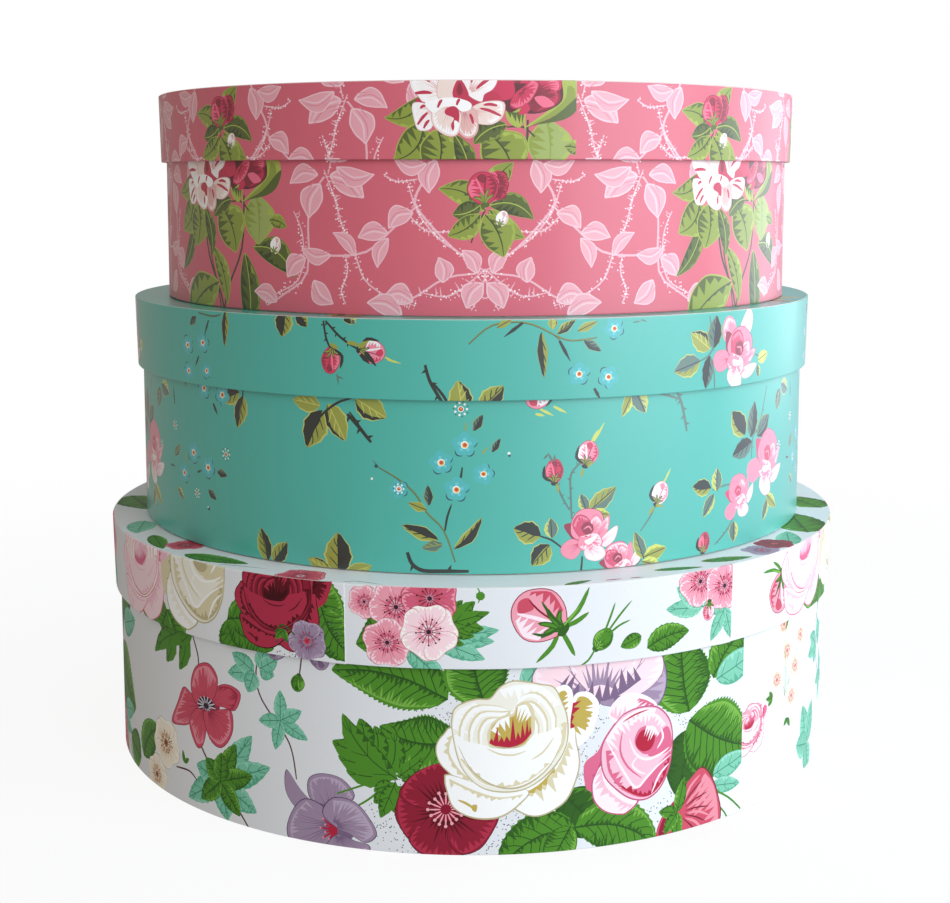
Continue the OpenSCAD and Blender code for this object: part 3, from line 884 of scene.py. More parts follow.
def anemone_spray():
    """A coral anemone seen from its side, over a cluster of leaves. The boss is the origin."""
    chance = random.Random(31)
    s = stipple("dot", [(-22 + 32j, 4, 14)], 60, 0.36, 31)
    s += lobed_leaf(-10 + 32j, -44 + 16j, 14, LEAF, lobes=2, bow=-0.1)
    s += lobed_leaf(-8 + 34j, -30 + 36j, 10, LEAF, lobes=2)
    s += stem("twig", [-10 + 34j, -5 + 22j, -6 + 12j], 0.9)
    s += stem("twig", [-6 - 18j, 2 - 28j, 12 - 36j, 26 - 52j], 1.1)
    s += fan(9 - 34j, [20 + 26j, 30 + 13j, 22 - 10j, 4 - 18j, -24 - 14j, -17 + 4j], 13, MINT, teeth=7,
             veins=4)
    s += fan(9 - 34j, [10 + 20j, 20 + 7j, 12 - 14j, -14 - 12j, -10 + 9j, 1 + 14j], 10.5, LEAF, teeth=7,
             veins=4)
    back, front = ("coral deep", "coral", "coral deep", "coral edge"), CORAL
    s.append(blob("coral deep", -9 + 0j, -7 + 6j, 0 + 8j, 8 + 5j, 9 - 1j, 4 - 7j, -5 - 7j))
    s += shaped_petal(0j, [-2 + 1j, -10 + 3j, -17 + 5j, -22 - 3j, -28 - 14j, -20 - 14j, -12 - 11j, -6 - 4j],
                      front, chance)
    s += shaped_petal(0j, [4 + 2j, 12 + 2j, 19 + 2j, 22.5 + 10j, 17 + 13j, 10 + 12j, 4 + 7j], back, chance)
    s += shaped_petal(-1 + 0j, [-8 + 0j, -11 + 8j, -7 + 17j, 2 + 20.5j, 8 + 15j, 6 + 6j, 0 + 1j], front,
                      chance, lit=0.9, dark=0.35)
    s.append(("boss dark", smooth([6 * complex(aim(k).real, 0.7 * aim(k).imag) for k in range(0, 360, 40)])))
    for k in range(14):
        way = 6.4 * complex(aim(26 * k).real, 0.72 * aim(26 * k).imag)
        s.append(brush("boss pale", [way * 0.3, way], 0.7, (0.7, 0.7)))
    s += shaped_petal(0 + 0j, [-7 - 3j, -13 - 11j, -8 - 21j, -3 - 19.5j, 0 - 10j, -1 - 4j], front, chance)
    s += shaped_petal(1 - 1j, [-2 - 4j, 2 - 15j, 10 - 17.5j, 17 - 9j, 16.5 + 1j, 9 + 0j, 3 - 2j], front,
                      chance, lit=0.25, dark=0.7)
    s += placed(blossom(12, GHOST, ("orange", "twig"), 33, turn=18, petals=5), -34.5 - 27j)
    s += placed(blossom(10, GHOST, ("orange", "twig"), 34, turn=50, petals=5), -45 - 46j)
    s += stem("twig", [-25 - 36j, -14 - 35j, -8 - 38j], 0.9)
    s += fan(-18 - 32j, [4 + 3j, -1 + 6j], 2.6, LEAF, veins=0)
    return s


def mint_vine():
    """A thin brown vine with mint leaves in threes and fives. The five-fold leaf is the origin."""
    s = stem("twig", [-11 + 60j, -12 + 30j, -13 + 18j, -10 + 8j, 2 - 6j, 6 - 14j, 8 - 26j], 0.8)
    s += fan(-14 + 20j, [-16 - 3j, -13 + 7j, -4 - 10j], 9, MINT, teeth=7, veins=3)
    s += fan(-11 + 22j, [8 - 2j, 3 + 10j, 10 + 6j], 8, MINT, teeth=7, veins=3)
    s += fan(0 + 0j, [0 + 14j, 14 - 7j, -3 - 14j, -12 - 2j, 11 + 6j], 7, MINT, teeth=5, veins=3)
    return s


def mauve_anemone():
    """A mauve anemone seen from its side, with red stamens at the origin."""
    chance = random.Random(41)
    s = stem("leaf", [6 + 10j, 16 + 17j, 25 + 26j, 30 + 29j], 1.0)
    s.append(blob("mauve deep", -13 + 4j, -11 + 12j, -1 + 15j, 8 + 6j, 6 - 4j, -7 - 7j))
    s += shaped_petal(-2 + 4j, [-9 + 8j, -18 + 16j, -25 + 24j, -25.5 + 14j, -19 + 6j, -10 + 3j], MAUVE,
                      chance)
    s += shaped_petal(-2 + 6j, [-12 + 12j, -14 + 21j, -8 + 25j, 2 + 24j, 8 + 17j, 2 + 12j], MAUVE, chance,
                      lit=0.35)
    s += shaped_petal(-2 + 2j, [-6 + 9j, -16 + 12j, -23 + 4j, -25 - 6j, -18 - 14j, -8 - 10j, -3 - 2j], MAUVE,
                      chance, lit=0.4, dark=0.7)
    for k in range(11):
        way = (6 + 2 * (k % 2)) * aim(100 + 16 * k)
        s.append(brush("crimson", [-0.5 + 0j, way], 1.1, (0.9, 0.5)))
        s.append(spot("coral rim", way * 1.04, 0.6, 5))
    s += shaped_petal(-2 + 2j, [-7 + 7j, -2 + 14.5j, 8 + 14j, 15 + 7j, 18 + 0j, 13 - 4j, 6 - 1j, 0 + 1j],
                      MAUVE, chance, lit=0.8, dark=0.5)
    s += shaped_petal(0 - 1j, [0 - 2j, 8 - 4j, 15 - 6j, 12 - 16j, 0 - 18j, -6 - 10j], MAUVE, chance, lit=0.3)
    return s


def mauve_buds():
    """Nodding mauve flower and green buds that hang from above."""
    s = stem("twig", [2 + 16j, 1 + 8j, 0 + 2j], 0.7)
    s += placed(rosebud(8, ("leaf light", "leaf", "leaf deep", "leaf vein"), GREENS, 43, open_=0.6), 0 + 3j,
                turn=170)
    s += placed(rosebud(13, MAUVE, GREENS, 44, open_=0.6), -8 + 20j, turn=150)
    s += placed(rosebud(12, MAUVE, GREENS, 45, open_=0.5), 8 + 18j, turn=200)
    return s


def small_mauve(radius=9):
    s = placed(blossom(radius, MAUVE, ("coral", "crimson"), 42, turn=10), 0j)
    s += stem("leaf deep", [-6 + 2j, -12 + 6j, -16 + 2j], 0.8)
    s += fan(-12 + 4j, [-4 - 5j, 2 - 6j], 3.5, LEAF, veins=1)
    return s


def blossom_cluster():
    """Pink blossoms with dark stamens over a serrated leaf, mint and green leaves to the right."""
    s = leaf(-2 + 8j, -26 - 8j, 22, LEAF, bow=0.1, teeth=13, veins=6)
    s += fan(8 - 4j, [26 - 1j, 22 - 9j, 28 + 4j], 9, MINT, teeth=6, veins=3)
    s += lobed_leaf(6 + 0j, 32 + 8j, 9, LEAF, lobes=3)
    s += leaf(-4 - 8j, 14 - 24j, 10, MINT, teeth=7)
    s += placed(blossom(7, BLOSSOM, STAMENS, 51), -22 + 11j, turn=30)
    s += placed(blossom(11.5, BLOSSOM, STAMENS, 52), -8 + 9.4j, turn=10)
    s += placed(blossom(11.5, ("blossom", "blossom deep", "coral", "coral edge"), STAMENS, 53), 6.5 + 13.7j)
    s += placed(blossom(10.5, BLOSSOM, STAMENS, 54), -12 - 6.5j, turn=50)
    s += placed(blossom(12, ("ghost rim", "blossom rim", "blossom", "blossom edge"), STAMENS, 55), 6 - 1j,
                turn=22)
    return s


def long_bud():
    """A pink rosebud with long thin sepals. Its calyx is the origin; the bloom leans up and left."""
    s = strokes("leaf", 2.2, (0j, 8 + 7j, 13 + 17j), (0j, 7 + 2j, 13 + 6j), (0j, -3 - 8j, -10 - 15j),
                (0j, 4 - 7j, 7 - 13j))
    s += placed(rosebud(25, ("rose rim", "blossom", "coral", "wine"), GREENS, 61, open_=0.8), 2 - 1j, turn=58)
    s += strokes("leaf deep", 1.4, (1 + 1j, -4 + 6j, -8 + 12j), (0j, -6 - 3j, -12 - 2j))
    s += strokes("leaf light", 1.1, (2 + 1j, 9 + 9j))
    return s


def green_bud():
    s = placed(rosebud(11, ("leaf light", "leaf", "leaf deep", "leaf vein"), ("leaf light", "leaf deep"), 62,
                       open_=0.4), 0j, turn=-28)
    for reach, way in ((20, 62), (16, 84), (14, 40)):
        tip = 3 + 6j + reach * aim(way)
        s.append(brush("leaf", [2 + 4j, (3 + 8j + tip) / 2, tip], 1.0, (0.9, 0.1)))
    s += stem("leaf", [0j, -2 - 5j, -6 - 9j], 0.9)
    return s


def leaf_pair():
    s = leaf(-8 - 8j, -20 + 4j, 17, LEAF, teeth=9, veins=5)
    s += leaf(-4 - 8j, 20 - 2j, 15, LEAF, bow=0.1, teeth=11, veins=6)
    return s


def blossom_pair():
    s = fan(-4 - 6j, [-20 + 3j, -14 + 12j, 22 + 8j, 18 - 2j], 9, MINT, teeth=6, veins=3)
    s += placed(blossom(11, BLOSSOM, STAMENS, 71), -5 + 6j)
    s += placed(blossom(11, BLOSSOM, STAMENS, 72), 9 + 1j, turn=36)
    s += placed(rosebud(9, ("blossom rim", "blossom", "coral", "coral edge"), GREENS, 73), 0 - 4j, turn=172)
    s += fan(9 - 9j, [4 - 16j, -9 - 14j], 7, MINT, teeth=6, veins=3)
    return s


def ghost_cluster():
    """Very pale blossoms on fine green stalks."""
    s = []
    for k, (at, turn) in enumerate(((0 + 8j, 0), (10 - 2j, 30), (-10 - 4j, 60), (6 - 16j, 10), (-4 + 22j, 40),
                                    (16 + 12j, 20))):
        s += stem("soft green", [at, at * 0.4 - 6j, -2 - 14j], 0.5)
        s += placed(blossom(7.5, GHOST, ("blossom", "coral"), 80 + k, turn=turn), at)
    s += fan(-14 - 12j, [-4 - 3j, -3 + 4j, -6 + 1j], 3, LEAF, veins=1)
    s += fan(2 - 26j, [-4 - 3j, 3 - 5j], 3, LEAF, veins=1)
    return s


def small_rose():
    return rose(13, BLOSSOM, ("rose deep", "crimson"), 91)


def large_rose_group():
    """Cream and blush roses with a wine rose beside them."""
    s = fan(-20 - 14j, [-26 - 6j, 14 - 18j, -12 - 18j], 18, LEAF, teeth=9, veins=6)
    s += fan(24 - 10j, [10 - 20j, 26 - 10j, 30 + 6j], 20, LEAF, teeth=11, veins=6)
    s += leaf(64 + 14j, 82 - 12j, 19, LEAF, bow=0.1, teeth=13, veins=6)
    s += leaf(74 + 2j, 90 - 20j, 20, LEAF, bow=-0.1, teeth=11, veins=6)
    s += placed(rose(26, ("blossom rim", "ghost rim", "rose", "rose deep"), ("rose", "rose deep"), 101),
                -46 + 2j)
    s += placed(rose(33, CREAM, ("cream deep", "cream edge"), 102), 2 + 10j)
    s += placed(rose(23, WINE, ("wine deep", "wine edge"), 103), 52 + 2j)
    return s


def white_wall_front():
    """The stretch of the white paper that faces forward, ending at its join on the right."""
    s = placed(leaf_pair(), -196 + 20j, 1.2, 30)
    s += placed(mint_vine(), -88 + 53.5j)
    s += placed(mauve_buds(), -78 + 73j)
    s += placed(anemone_spray(), -133 + 51.5j)
    s += placed(mauve_anemone(), -60 + 7j)
    s += placed(large_rose_group(), -150 + 124j)
    s += rose_bouquet()
    s += placed(blossom_pair(), 128 + 114j)
    s += placed(blossom_cluster(), -40 + 126j)
    return s


def white_wall_side():
    """What stands to the right of the join."""
    s = placed(ghost_cluster(), 176 + 60j)
    s += placed(small_rose(), 143 + 38j)
    s += placed(long_bud(), 178 + 96j, turn=20)
    s += fan(206 + 12j, [-8 + 22j, 10 + 20j, -16 + 4j, 4 - 16j], 14, MINT, teeth=9, veins=5)
    s += placed(green_bud(), 226 + 80j)
    s += placed(mint_vine(), 236 + 40j)
    s += placed(small_mauve(10), 236 + 100j)
    return s


def white_rim_left():
    s = placed(large_rose_group(), -140 + 22j)
    s += placed(small_mauve(), -73 + 8j)
    s += stipple("dot", [(-62 + 14j, 3, 12), (-84 + 4j, 3, 9)], 40, 0.4, 111)
    return s


def white_rim_front():
    s = placed(blossom_cluster(), -24 + 17j)
    s += stem("leaf", [0 + 40j, 4 + 33j, 3 + 29j], 0.6) + [spot("leaf", 4 + 32j, 2, 8)]
    s += placed(long_bud(), 38 + 17j)
    s += placed(green_bud(), 54 + 6j, turn=-12)
    s += leaf(76 + 10j, 66 + 6j, 7, LEAF, veins=2)
    s += leaf(79 + 4j, 101 + 9j, 12, LEAF, teeth=9, veins=5, bow=0.08)
    s += placed(blossom_pair(), 112 + 25j, turn=4)
    return s


def white_rim_side():
    s = placed(sized(long_bud(), 0.8), 165 + 24j, turn=115)
    s += leaf(184 + 34j, 190 + 16j, 8, LEAF, teeth=0)
    s += stem("leaf", [170 + 40j, 178 + 26j, 184 + 12j], 0.8)
    s += placed(large_rose_group(), 236 + 24j)
    return s


def on_lid(u, r):
    """A point on the lid's top, u round from the front and r from the middle."""
    return r * aim(math.degrees(u / 190) - 90)


def white_lid_top():
    """The top of the white lid: bouquets in the middle, loose leaves and flowers round the edge."""
    s = placed(rose_bouquet(), -30 - 70j, 0.9, 8) + placed(blossom_cluster(), -96 + 62j, 1.1, 40)
    s += placed(anemone_spray(), 80 + 96j, 0.9, -30) + placed(mauve_anemone(), -84 - 96j, 0.9, 20)
    s += placed(mint_vine(), -20 + 70j, 0.9, -70) + placed(leaf_pair(), -10 + 152j, 1.2, 160)
    s += placed(anemone_spray(), 84 - 72j, 0.8, 60) + placed(blossom_pair(), 128 + 6j, 1.1, -50)
    for start, end, width, inks in (
        ((-196, 180), (-166, 188), 9, LEAF), ((-150, 186), (-112, 180), 12, LEAF),
        ((-232, 176), (-204, 186), 14, MINT),
        ((40, 190), (54, 185), 4, LEAF), ((88, 180), (112, 186), 5, LEAF), ((118, 178), (144, 187), 8, LEAF),
        ((176, 188), (204, 176), 12, MINT), ((206, 186), (252, 170), 26, LEAF),
        ((268, 186), (300, 172), 22, LEAF),
        ((-300, 186), (-262, 172), 24, LEAF), ((330, 184), (362, 170), 16, MINT),
        ((-380, 184), (-344, 174), 18, LEAF),
    ):
        s += leaf(on_lid(*start), on_lid(*end), width, inks, teeth=9, veins=5)
    s += placed(blossom(9, CORAL, STAMENS, 56), on_lid(-166, 176))
    s += placed(blossom(11, CORAL, ("boss pale", "crimson"), 57), on_lid(-78, 186))
    s += placed(blossom(9, MAUVE, ("coral", "crimson"), 58), on_lid(158, 183))
    s += placed(blossom(9, WINE, ("coral", "crimson"), 59), on_lid(174, 181))
    s += strokes("leaf vein", 0.6, (on_lid(-122, 189), on_lid(-118, 186), on_lid(-98, 182)),
                 (on_lid(-56, 188), on_lid(-50, 186), on_lid(-38, 189)))
    return s + strokes("wine", 1.2, (on_lid(60, 187), on_lid(68, 187)), (on_lid(72, 187), on_lid(78, 188)))


# ---- the pink paper --------------------------------------------------------------------------


def blossomed_twig(knots, seed, gap=1.1, width=2.3):
    """A pale twig with fine side shoots and clusters of tiny white flowers."""
    chance = random.Random(seed)
    line = smooth(knots, closed=False, steps=12)
    shapes = [brush("tint line", knots, 0.75, (0.7, 0.4))]
    run = 0.0
    for a, b in zip(line, line[1:]):
        run += abs(b - a)
        if run < gap:
            continue
        run = 0.0
        side = 1j * (b - a) / (abs(b - a) or 1)
        if chance.random() < 0.4:
            reach = chance.choice((-1, 1)) * chance.uniform(1.6, 1.5 * width)
            tip = b + side * reach + (b - a) / abs(b - a) * chance.uniform(-0.5, 1.6)
            shapes.append(brush("tint line", [b, tip], 0.5, (0.9, 0.2)))
        for _ in range(chance.choice((1, 2, 2, 3))):
            at = b + side * chance.gauss(0, 0.42 * width) + chance.uniform(-0.5, 0.5)
            shapes.append(spot(chance.choice(["tint white", "tint white", "tint light"]), at,
                               chance.uniform(0.24, 0.46), 5))
    return shapes


def tint_leaf(base, tip, width, bow=0.12):
    """A pale leaf with a lighter edge and a few fine lines."""
    chance = random.Random(round(abs(base) * 9 + abs(tip) * 5))
    span = tip - base
    side = 1j * span / abs(span) * width / 2
    bend = 1j * span * bow
    near = ((0.12, 0.55), (0.38, 1.08), (0.68, 0.92), (0.9, 0.35))
    far = ((0.9, 0.3), (0.66, 0.86), (0.36, 1.0), (0.12, 0.5))
    left = [base + span * t + side * h + bend * 4 * t * (1 - t) for t, h in near]
    right = [base + span * t - side * h + bend * 4 * t * (1 - t) for t, h in far]
    middle = base + span * 0.5 + bend
    rib = [base + span * 0.08, middle, base + span * 0.92]
    return [
        blob("tint light", base, *left, tip, *right),
        blob("tint", *[middle + (p - middle) * 0.88 for p in [base] + left + [tip] + right]),
        comb("tint light", [middle + (p - middle) * 0.85 for p in right], rib[::-1], 7, chance, (0.1, 0.8),
             0.02),
        brush("tint light", rib, 0.09 * width, (0.8, 0.2)),
        brush("tint deep", [p + side * 0.3 for p in rib], 0.06 * width, (0.5, 0.1)),
        brush("tint deep", [p + side * 0.62 - span * 0.05 for p in rib[:2]], 0.05 * width, (0.5, 0.1)),
    ]


def garland():
    """Half of the pale garland, to the right of its middle line. The other half is its mirror."""
    s = []
    s.append(brush("tint line", [21 + 68j, 26 + 58j, 30 + 50j, 28 + 44j, 14 + 29j, 0 + 19j], 1.1, (0.9, 0.6)))
    s.append(brush("tint line", [29 + 47j, 41 + 36j, 52 + 27j, 68 + 25j, 84 + 27j], 1.0, (0.9, 0.5)))
    s.append(brush("tint line", [72 + 59j, 80 + 46j, 81 + 18j, 93 + 8j, 104 + 2j], 1.0, (0.9, 0.5)))
    s.append(brush("tint line", [4 + 18j, 17 + 16j, 30 + 8j, 44 + 2j], 0.9, (0.9, 0.5)))
    s += blossomed_twig([33 + 56j, 29 + 44j, 20 + 33j, 10 + 26j, 1 + 18j], 1)
    s += blossomed_twig([72 + 62j, 67 + 50j, 63 + 37j, 57 + 25j, 53 + 15j, 43 + 8j, 30 + 4j], 2)
    s += blossomed_twig([88 + 44j, 84 + 36j, 83 + 26j, 86 + 14j, 97 + 8j, 106 + 4j], 3, width=3.4)
    s += blossomed_twig([62 + 26j, 61 + 18j, 64 + 10j, 62 + 4j], 4, width=1.6)
    s += blossomed_twig([0 + 20j, 8 + 13j, 17 + 8j, 28 + 10j], 5, width=3.2)
    s += blossomed_twig([70 + 60j, 68 + 72j, 74 + 84j, 70 + 98j, 74 + 112j], 6)
    s += blossomed_twig([29 + 58j, 38 + 57j, 44 + 60j], 7, width=1.4)
    s += blossomed_twig([32 + 42j, 25 + 36j, 14 + 36j], 8, width=1.6)
    s += blossomed_twig([-1 + 20j, 2 + 10j, 6 + 2j], 9, width=3.0)
    s += tint_leaf(21 + 66j, 24 + 52j, 9) + tint_leaf(25 + 64j, 39 + 66j, 7, -0.15)
    s += tint_leaf(31 + 44j, 42 + 37j, 8.5, 0.18) + tint_leaf(42 + 35j, 56 + 33j, 8)
    s += tint_leaf(42 + 33j, 47 + 20j, 6.5) + tint_leaf(57 + 25j, 68 + 35j, 6)
    s += tint_leaf(69 + 25j, 84 + 28j, 7, -0.15) + tint_leaf(74 + 56j, 80 + 41j, 11)
    s += tint_leaf(69 + 60j, 53 + 50j, 11, -0.12) + tint_leaf(66 + 63j, 48 + 60j, 8, 0.16)
    s += tint_leaf(75 + 60j, 90 + 56j, 8, 0.16) + tint_leaf(70 + 66j, 60 + 78j, 10)
    s += tint_leaf(72 + 70j, 84 + 82j, 11) + tint_leaf(18 + 14j, 20 + 25j, 8)
    s += tint_leaf(3 + 18j, 10 + 28j, 7) + tint_leaf(1 + 14j, 8 + 3j, 9)
    s += tint_leaf(78 + 14j, 68 + 4j, 9) + tint_leaf(82 + 24j, 92 + 15j, 9)
    s += tint_leaf(31 + 6j, 44 + 8j, 9, 0.16) + tint_leaf(36 + 0j, 52 + 5j, 9)
    s += tint_leaf(34 - 1j, 26 - 10j, 8)
    s += tint_leaf(98 + 4j, 112 + 8j, 8)
    return s


def red_flower(radius, seed):
    """A red flower with uneven notched petals, lit from the left."""
    chance = random.Random(seed)
    s = []
    for k in (1, 4, 0, 5, 2, 6, 3, 7):
        way = aim(45 * k + chance.uniform(-16, 16)) * chance.uniform(0.7, 1.06)
        shady = way.real > 0.3
        inks = ("red", "red deep", "red edge", "red edge") if shady else RED
        s += petal(0.08 * way, 0.92 * way, chance.uniform(0.42, 0.6), inks, chance, ruffle=0.13, streaks=2)
    for k in range(4):
        way = aim(30 + 90 * k + chance.uniform(-20, 20)) * 0.5
        s += petal(0j, way, 0.7, RED, chance, ruffle=0.12, streaks=2)
    s.append(blob("olive deep", 0.05 - 0.02j, 0.12 + 0.08j, 0.02 + 0.13j, -0.07 + 0.04j))
    return [(ink, [radius * complex(p.real, 0.92 * p.imag) for p in outline]) for ink, outline in s]


def broad_leaf(base, tip, width, inks=OLIVE, bow=0.1):
    """A smooth broad leaf: one half light, one half dark."""
    body, deep, light, line = inks
    chance = random.Random(round(abs(base) * 11 + abs(tip) * 3))
    span = tip - base
    side = 1j * span / abs(span) * width / 2
    bend = 1j * span * bow
    rib = [base + span * t + bend * 4 * t * (1 - t) for t in (0, 0.25, 0.5, 0.75, 1)]
    edge = ((0.1, 0.5), (0.35, 1.05), (0.66, 0.95), (0.9, 0.36))
    left = [base + span * t + side * h + bend * 4 * t * (1 - t) for t, h in edge]
    right = [base + span * t - side * h + bend * 4 * t * (1 - t) for t, h in edge]
    return [
        blob(light, base, *left, tip, *right[::-1]),
        (body, smooth([p * 0.96 + rib[2] * 0.04 for p in [base] + left + [tip] + right[::-1]])),
        comb(deep, [p * 0.94 + rib[2] * 0.06 for p in right], rib[1:], 6, chance, (0.2, 0.95), 0.05),
        comb(light, [p * 0.92 + rib[2] * 0.08 for p in left], rib[1:], 5, chance, (0.05, 0.5), 0.03),
        comb(deep, rib[:3], left[:3], 4, chance, (0.1, 0.45), 0.03),
        brush(line, rib, 0.3 + width * 0.02, (0.9, 0.1)),
    ]


def pink_bouquet():
    """A striped white flower and a red one on dark stalks with olive leaves. About 85 x 95."""
    chance = random.Random(121)
    white = STRIPE
    warm = ("stripe rim", "stripe warm", "stripe deep", "stripe edge")
    blush = ("stripe", "stripe deep", "stripe edge", "stripe edge")
    red_dark = ("red", "red deep", "red edge", "red edge")
    s = []
    s += stem("stalk", [-16 + 6j, -12 - 14j, -2 - 32j, 6 - 60j], 1.2)
    s += stem("stalk", [16 + 14j, 14 - 10j, 2 - 32j, -4 - 60j], 1.1)
    s += stem("stalk", [-12 + 2j, -10 - 14j, -4 - 30j, -1 - 46j], 0.9)
    s += broad_leaf(-4 - 26j, -36 - 48j, 20, bow=-0.1)
    s += broad_leaf(16 - 12j, 18 - 50j, 12, DARK_OLIVE, bow=0.06)
    s += broad_leaf(-8 - 10j, 3 - 36j, 9) + broad_leaf(22 - 9j, 46 - 22j, 12, DARK_OLIVE, bow=0.18)
    s += broad_leaf(-26 + 2j, -42 - 22j, 8, DARK_OLIVE, bow=0.1)
    # the leaves behind the flowers, left to right
    s += broad_leaf(-28 + 24j, -45 + 15j, 9, bow=0.22) + broad_leaf(-28 + 13j, -41 - 3j, 15, bow=0.2)
    s += broad_leaf(-22 + 10j, -24 - 10j, 17, bow=0.12) + broad_leaf(-15 + 8j, -9 - 14j, 8, DARK_OLIVE)
    s += broad_leaf(-2 + 9j, 10 - 12j, 19, bow=0.14) + broad_leaf(7 + 12j, -7 + 4j, 9, DARK_OLIVE, bow=-0.12)
    s += broad_leaf(24 + 14j, 25 - 8j, 18, ("olive pale", "olive", "olive light", "olive"), bow=0.06)
    s += broad_leaf(32 + 3j, 42 + 0j, 6)
    s.append(blob("olive light", 15 + 11j, 25 + 18j, 30 + 22j, 31 + 31j, 37 + 30j, 39 + 24j, 32 + 17j,
                  23 + 14j))
    s.append(blob("olive", 18 + 12j, 27 + 18j, 32 + 23j, 33 + 28j, 36 + 27j, 36 + 22j, 30 + 17j))
    s.append(blob("olive deep", 16 + 11j, 28 + 16j, 39 + 25j, 37 + 18j, 31 + 14j, 20 + 12j))
    s += stem("stalk", [19 + 7j, 14 + 11j, 7 + 11j], 0.8) + stem("olive light", [15 + 10j, 14 + 18j], 0.8)
    s.append(blob("olive light", 7 + 18j, 8 + 13j, 13 + 11j, 15 + 19j))
    s.append(comb("olive deep", [7 + 18j, 11 + 17j, 15 + 19j], [9 + 12j, 12 + 11j, 14 + 12j], 4, chance))
    # the red flower
    s.append(blob("red edge", 2 + 31j, -3 + 24.5j, 4 + 21.5j, 6 + 18.5j, 9 + 17j, 14 + 19.5j, 15 + 16.8j,
                  21 + 16.8j, 27.4 + 19.2j, 31 + 23j, 30 + 30j, 25 + 36j, 14 + 38j, 6 + 36j))
    s += shaped_petal(15 + 24j, [17 + 24j, 22 + 31j, 28 + 27.5j, 30 + 23j, 27 + 19.5j, 20 + 17.2j,
                                 16 + 19.5j], red_dark, chance)
    s += shaped_petal(15 + 27j, [16 + 28j, 17 + 36j, 24 + 36j, 30 + 30j, 29 + 26j, 23 + 29j], RED, chance)
    s += shaped_petal(12 + 28j, [13 + 29j, 7 + 30j, 4 + 35j, 10 + 39j, 17 + 37j, 17 + 30j], RED, chance)
    s += shaped_petal(10 + 27j, [8 + 31.4j, 10.3 + 28j, 9.8 + 23.4j, 5.1 + 22j, 1 + 24.5j, 2 + 30j], RED,
                      chance, lit=0.8)
    s += shaped_petal(13 + 26j, [13.8 + 27.4j, 18 + 30.6j, 20.7 + 28.5j, 17 + 21.7j, 11.5 + 18.6j, 8.4 + 20j,
                                 10.3 + 24.6j], RED, chance, lit=0.9, dark=0.35)
    s.append(blob("red rim", 18.7 + 23.1j, 23.1 + 23.8j, 27.4 + 20.4j, 22.5 + 19.3j))
    s.append(blob("red", 12 + 16.8j, 15 + 21j, 17 + 18.6j, 14.6 + 16.2j))
    # the upper white flower
    s.append(blob("stripe red", -31.6 + 22.2j, -24 + 24.5j, -12 + 24j, -3 + 26j, 3 + 25j, 4 + 21.6j, -4 + 20j,
                  -14 + 20j, -26 + 20.4j))
    s += shaped_petal(-19 + 24j, [-23 + 30j, -27 + 38j, -20 + 43j, -11 + 41j, -10 + 33j, -14 + 29j], white,
                      chance)
    s += shaped_petal(-19 + 25j, [-20.5 + 23.6j, -27.4 + 21.3j, -30.3 + 24j, -33 + 27j, -33.4 + 33j,
                                  -27 + 37j, -22.2 + 31j], white, chance)
    s += shaped_petal(-9 + 25j, [-9.3 + 24.5j, -12.4 + 31j, -7 + 38j, 1 + 36j, 3 + 30.8j, 1.1 + 26.6j,
                                 -2.4 + 24.5j, -3.7 + 21.5j], white, chance)
    s += shaped_petal(-15 + 23j, [-21.5 + 30.8j, -22 + 24j, -19 + 22j, -15 + 22j, -13.5 + 28.5j, -15 + 34j,
                                  -19 + 35j], ("stripe", "stripe warm", "stripe deep", "stripe edge"), chance)
    s += [blob("stripe red", -15.7 + 25.8j, -12.8 + 31j, -9 + 25j, -10.2 + 21.8j, -14.5 + 22.2j),
          blob("red deep", -14 + 26j, -12.8 + 29.4j, -11.4 + 26j, -12.8 + 24j)]
    for at, to in ((-31 + 33j, -25 + 29.5j), (-31.5 + 25j, -24 + 25j), (-6 + 36j, -8 + 29j),
                   (0 + 31j, -6 + 26.5j), (-18 + 41j, -18 + 34j), (-24 + 37j, -22 + 32j)):
        s.append(brush("stripe red", [at, (at + to) / 2 + 0.4j, to], 1.5, (0.7, 0.05)))
    # the lower white flower
    s += shaped_petal(-8 + 17j, [-7.6 + 18.8j, -2 + 21.4j, 5.7 + 21.2j, 5.3 + 15.4j, 1.1 + 12.2j,
                                 -4.7 + 12.3j, -7.8 + 14j], warm, chance)
    s += shaped_petal(-11 + 18j, [-12.5 + 17j, -13.6 + 10j, -9.9 + 6.4j, -6.2 + 7.6j, -4.9 + 11.6j,
                                  -6.6 + 18.4j], blush, chance)
    s += shaped_petal(-24 + 19j, [-27.2 + 20.6j, -32.6 + 20.6j, -32 + 14j, -30 + 9.8j, -24.9 + 10.4j,
                                  -23.4 + 16.5j], white, chance)
    s += shaped_petal(-17 + 20j, [-24.5 + 17.5j, -23.6 + 11.4j, -18.6 + 7.6j, -14.3 + 7.6j, -12.4 + 11.4j,
                                  -12.3 + 16.5j, -16.3 + 20j, -21 + 20.4j], warm, chance)
    s.append(blob("stripe rim", -27.4 + 21j, -22.6 + 22.4j, -18.6 + 23.2j, -12.8 + 22.8j, -8 + 20.8j,
                  -8.4 + 18.2j, -12 + 17.4j, -15 + 19.6j, -20 + 19j, -23.8 + 16.8j))
    s.append(blob("stripe red", -18.4 + 18.6j, -15 + 19.6j, -13 + 17.4j, -13.2 + 13j, -15.4 + 9.4j,
                  -16.4 + 12j, -15.2 + 14.6j, -18.8 + 16.4j))
    s.append(blob("stripe rim", -15 + 13.6j, -13.2 + 12.6j, -13.8 + 9j, -16 + 7.8j, -15 + 10.6j))
